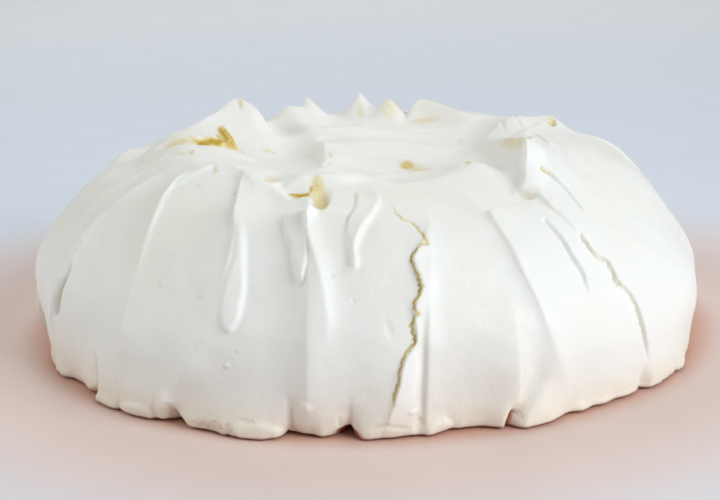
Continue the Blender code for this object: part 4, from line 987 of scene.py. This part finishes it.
def fine_points(angle, arc):
    """Points of the fine shell over a grid of angles and arcs in mm, and how browned each is, with painted
    shade and painted highlights carried in the same share.
    """
    dome = plain_dome(arc)
    angle, arc = np.meshgrid(angle, arc)
    radius, height, out, up = (np.broadcast_to(v[:, None], angle.shape) for v in dome)
    c, s = np.cos(np.radians(angle)), np.sin(np.radians(angle))
    x, y = radius * c, radius * s
    push, curl = side_push(angle, arc, radius)
    for seed, (length, size) in enumerate(RIPPLES):
        push += size * ripple(x, y, height, length, seed)
    brown_and_painted_light = browning_and_painted_light(angle, arc, radius, x, y)
    for seed, (length, size) in enumerate(CRUMB):
        push += np.clip(brown_and_painted_light, 0, 1) * size * ripple(x, y, height, length, seed)
    flare = (ring(FOOT, angle) - PROFILE[0][0]) * np.exp(-arc / FOOT_FADE)
    edge = np.interp(turned(angle), *np.transpose(FOOT_EDGE))
    crumb_length, crumb_size = EDGE_CRUMB
    edge += crumb_size * ripple(x, y, height, crumb_length, 0)
    flare += edge * np.exp(-arc / EDGE_FADE)
    tuck_deep, tuck_high = TUCK
    flare -= tuck_deep * np.clip(1 - arc / tuck_high, 0, 1) ** 2
    rim_start, rim_full, rim_end, rim_gone = RIM_FADE
    rim = ring(RIM, angle) * rise(rim_start, rim_full, arc) * (1 - rise(rim_end, rim_gone, arc))
    crown = rise(*CROWN_START, arc)
    lift, shift_x, shift_y = crown_lift(x, y)
    outward = push * out + flare
    x = x + outward * c - curl * s + crown * shift_x - MIDDLE[0]
    y = y + outward * s + curl * c + crown * shift_y - MIDDLE[1]
    z = height + push * up * rise(0, FOOT_ROUND, height) + rim + crown * lift
    z[0] = np.where(arc[0] == 0, 0, z[0])
    return x, y, np.maximum(z, 0), brown_and_painted_light


def columns_round():
    """Angles of the columns, close together at the front and closest beside the cracks."""
    fine = np.linspace(-180, 180, TRIAL_ANGLES, endpoint=False)
    front = (1 - rise(*FRONT_RIGHT_END, fine)) + rise(*FRONT_LEFT_END, fine)
    step = BACK_STEP + (FRONT_STEP - BACK_STEP) * front
    for stations in CRACKS.values():
        middle = np.mean([row[0] for row in stations])
        step += (CRACK_STEP - step) * np.exp(-(((fine - middle) / CRACK_WIDE) ** 4))
    run = np.cumsum(np.radians(fine[1] - fine[0]) * PROFILE[0][0] / step)
    count = int(run[-1] // SKIPS[-1]) * SKIPS[-1]
    return np.interp(np.arange(count) * run[-1] / count, run, fine)


def rows_up():
    """Arcs of the rows, in the blocks that keep every column, every second and every fourth."""
    end = dome_run()[1][-1]
    side = np.arange(0, RIM_ARC, SIDE_STEP)
    top = np.linspace(RIM_ARC, end, int((end - RIM_ARC) / TOP_STEP), endpoint=False)
    arc = np.concatenate([side, top])
    marks = [0, *np.searchsorted(arc, FEWER_FROM), len(arc)]
    return [arc[a:b] for a, b in zip(marks, marks[1:])]


def band_faces(low, high):
    """Quads between two rings of points, or three triangles each where the upper has half as many."""
    after, high_after = np.roll(low, -1), np.roll(high, -1)
    if len(high) == len(low):
        return np.stack([low, after, high_after, high], 1).tolist()
    left, middle, right = low[::2], low[1::2], after[1::2]
    faces = [(left, middle, high), (middle, high_after, high), (middle, right, high_after)]
    return np.vstack([np.stack(three, 1) for three in faces]).tolist()


def shell_grid():
    """Points, browned share (which also carries painted shade and highlights) and faces of the whole closed
    shell.
    """
    columns = columns_round()
    points, toast_and_painted_light, rings = [], [], []
    count = 0
    for skip, arc in zip(SKIPS, rows_up()):
        angle = columns[::skip]
        *place, brown_and_painted_light = fine_points(angle, arc)
        points.append(np.stack(place, -1).reshape(-1, 3))
        toast_and_painted_light.append(brown_and_painted_light.ravel())
        numbers = count + np.arange(len(arc) * len(angle)).reshape(len(arc), len(angle))
        rings += list(numbers)
        count = numbers[-1, -1] + 1
    faces = []
    for low, high in zip(rings, rings[1:]):
        faces += band_faces(low, high)
    points = np.vstack(points)
    first, last = rings[0], rings[-1]
    top = points[last].mean(0)
    faces += [(a, b, count) for a, b in zip(last, np.roll(last, -1))]
    faces += [(b, a, count + 1) for a, b in zip(first, np.roll(first, -1))]
    return np.vstack([points, top, (0, 0, 0)]), np.concatenate([*toast_and_painted_light, (0, 0)]), faces


class Nodes:
    """Short calls that add and link shader nodes."""

    def __init__(self, material):
        material.use_nodes = True
        self.tree = material.node_tree
        self.shader = self.tree.nodes["Principled BSDF"]
        self.place = self.add("TexCoord").outputs["Object"]

    def add(self, kind, settings=None, **inputs):
        node = self.tree.nodes.new("ShaderNode" + kind)
        for name, value in (settings or {}).items():
            setattr(node, name, value)
        for name, value in inputs.items():
            self.feed(node.inputs[name.replace("_", " ")], value)
        return node

    def feed(self, socket, value):
        if isinstance(value, bpy.types.NodeSocket):
            self.tree.links.new(value, socket)
        else:
            socket.default_value = value

    def finish(self, **inputs):
        """Sets the inputs of the shader itself."""
        for name, value in inputs.items():
            self.feed(self.shader.inputs[name.replace("_", " ")], value)

    def mix(self, share, low, high):
        node = self.add("Mix", {"data_type": "RGBA"})
        for index, value in ((0, share), (6, low), (7, high)):
            self.feed(node.inputs[index], value)
        return node.outputs[2]

    def band(self, value, low, high, bottom=0.0, top=1.0):
        node = self.add("MapRange", {"interpolation_type": "SMOOTHSTEP"})
        for socket, number in zip(node.inputs, (value, low, high, bottom, top)):
            self.feed(socket, number)
        return node.outputs[0]

    def total(self, a, b):
        node = self.add("Math", {"operation": "ADD"})
        self.feed(node.inputs[0], a)
        self.feed(node.inputs[1], b)
        return node.outputs[0]

    def noise(self, scale):
        return self.add("TexNoise", Vector=self.place, Scale=scale, Detail=NOISE_DETAIL).outputs["Fac"]

    def mottle(self, scale, low, high, bottom, top):
        return self.band(self.noise(scale), low, high, bottom, top)


def meringue_material():
    """Satin off-white crust with faint warm patches and crumbly golden insides where it is broken, with
    painted highlights, painted warm bounce light and shade at the foot, and painted dark shade along the
    contact line and in the low hollows.
    """
    material = bpy.data.materials.new("baked meringue")
    nodes = Nodes(material)
    height = nodes.add("SeparateXYZ", Vector=nodes.place).outputs["Z"]
    brown_and_painted_light = nodes.add("Attribute", {"attribute_name": "brown_and_painted_light"}).outputs["Fac"]
    crust = nodes.mix(nodes.mottle(*PATCHES), WHITE, CREAM)
    # Painted warm bounce light and soft shade, fading up from the foot
    crust = nodes.mix(nodes.band(height, *FOOT_BOUNCE_BAND), crust, FOOT_BOUNCE_TONE)
    # Painted highlights where the share falls below 0
    crust = nodes.mix(nodes.band(brown_and_painted_light, *HIGHLIGHT_BAND), crust, HIGHLIGHT_COLOR)
    # Painted warmer, darker shade on the lowest part of the side, next to the ground
    crust = nodes.mix(nodes.band(height, *FOOT_WARM_SHADE_BAND), crust, FOOT_WARM_SHADE)
    # Painted dark reddish contact shadow along the tucked foot
    crust = nodes.mix(nodes.band(height, *CONTACT_SHADE_BAND), crust, PAINTED_SHADE)
    uneven = nodes.total(brown_and_painted_light, nodes.mottle(*CRUMB_TONE))
    inside = nodes.mix(nodes.band(uneven, *CARAMEL_TONE), GOLD, CARAMEL)
    # Painted dark shade on browned places low on the side, which fills the notches
    inside = nodes.mix(nodes.band(height, *HOLLOW_SHADE_BAND), inside, PAINTED_SHADE)
    rough = nodes.total(nodes.mottle(*SATIN), nodes.band(brown_and_painted_light, *ROUGH_INSIDE))
    bump = nodes.add("Bump", Height=nodes.noise(BUMP_SCALE), **BUMP)
    nodes.finish(
        Base_Color=nodes.mix(nodes.band(uneven, *INSIDE_TONE), crust, inside),
        Roughness=rough,
        Normal=bump.outputs["Normal"],
        **CRUST_SHADER,
    )
    return material


def floor_material():
    """Pale matte ground with a painted reddish contact shadow and glow round the shell, faintly warm beyond
    it and cooler further out.
    """
    material = bpy.data.materials.new("pale floor")
    nodes = Nodes(material)
    away = nodes.add("VectorMath", {"operation": "LENGTH"}, Vector=nodes.place).outputs["Value"]
    color = FLOOR_CONTACT_SHADE
    for low, high, further in FLOOR_BANDS:
        color = nodes.mix(nodes.band(away, low, high), color, further)
    mottle = nodes.mottle(*FLOOR_MOTTLE)
    tinted = nodes.add("VectorMath", {"operation": "SCALE"}, Vector=color, Scale=mottle)
    nodes.finish(Base_Color=tinted.outputs[0], Roughness=FLOOR_ROUGH)
    return material


def placed(name, data):
    """A new object with this data, in the scene."""
    thing = bpy.data.objects.new(name, data)
    bpy.context.collection.objects.link(thing)
    return thing


def build_shell():
    """The fine shell, which stands for the CAD node in the render."""
    points, brown_and_painted_light, faces = shell_grid()
    mesh = bpy.data.meshes.new("meringue_surface")
    mesh.from_pydata((points * MM).tolist(), [], faces)
    share = mesh.attributes.new("brown_and_painted_light", "FLOAT", "POINT")
    share.data.foreach_set("value", np.clip(brown_and_painted_light, -1, 1))
    mesh.shade_smooth()
    mesh.materials.append(meringue_material())
    shell = placed("meringue_surface", mesh)
    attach(shell, "root")
    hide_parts("meringue")


def build_floor():
    mesh = bpy.data.meshes.new("floor")
    half = FLOOR_SIZE / 2
    corners = [(-half, -half, 0), (half, -half, 0), (half, half, 0), (-half, half, 0)]
    mesh.from_pydata(corners, [], [(0, 1, 2, 3)])
    mesh.materials.append(floor_material())
    placed("floor", mesh)


def build_light(name, place, size, power, color):
    lamp = bpy.data.lights.new(name, "AREA")
    lamp.size = size
    lamp.energy = power
    lamp.color = color
    light = placed(name, lamp)
    light.location = place
    light.rotation_euler = (Vector(place) - Vector(LIT_PLACE)).to_track_quat("Z", "Y").to_euler()


def build_world():
    world = bpy.data.worlds.new("soft daylight")
    world.use_nodes = True
    sky = world.node_tree.nodes["Background"]
    sky.inputs["Color"].default_value = SKY_COLOR
    sky.inputs["Strength"].default_value = SKY_STRENGTH
    bpy.context.scene.world = world


def build_camera():
    lens = bpy.data.cameras.new("camera")
    lens.lens = LENS
    camera = placed("camera", lens)
    height = np.radians(ELEVATION)
    back = Vector((0, -np.cos(height), np.sin(height)))
    turn = back.to_track_quat("Z", "Y").to_matrix().to_4x4()
    roll = Matrix.Rotation(np.radians(ROLL), 4, "Z")
    camera.matrix_world = Matrix.Translation(Vector(LOOK_AT) + DISTANCE * back) @ turn @ roll
    bpy.context.scene.camera = camera


build_camera()
build_shell()
build_floor()
build_world()
for name, light in LIGHTS.items():
    build_light(name, *light)
bpy.context.scene.view_settings.view_transform = "Standard"
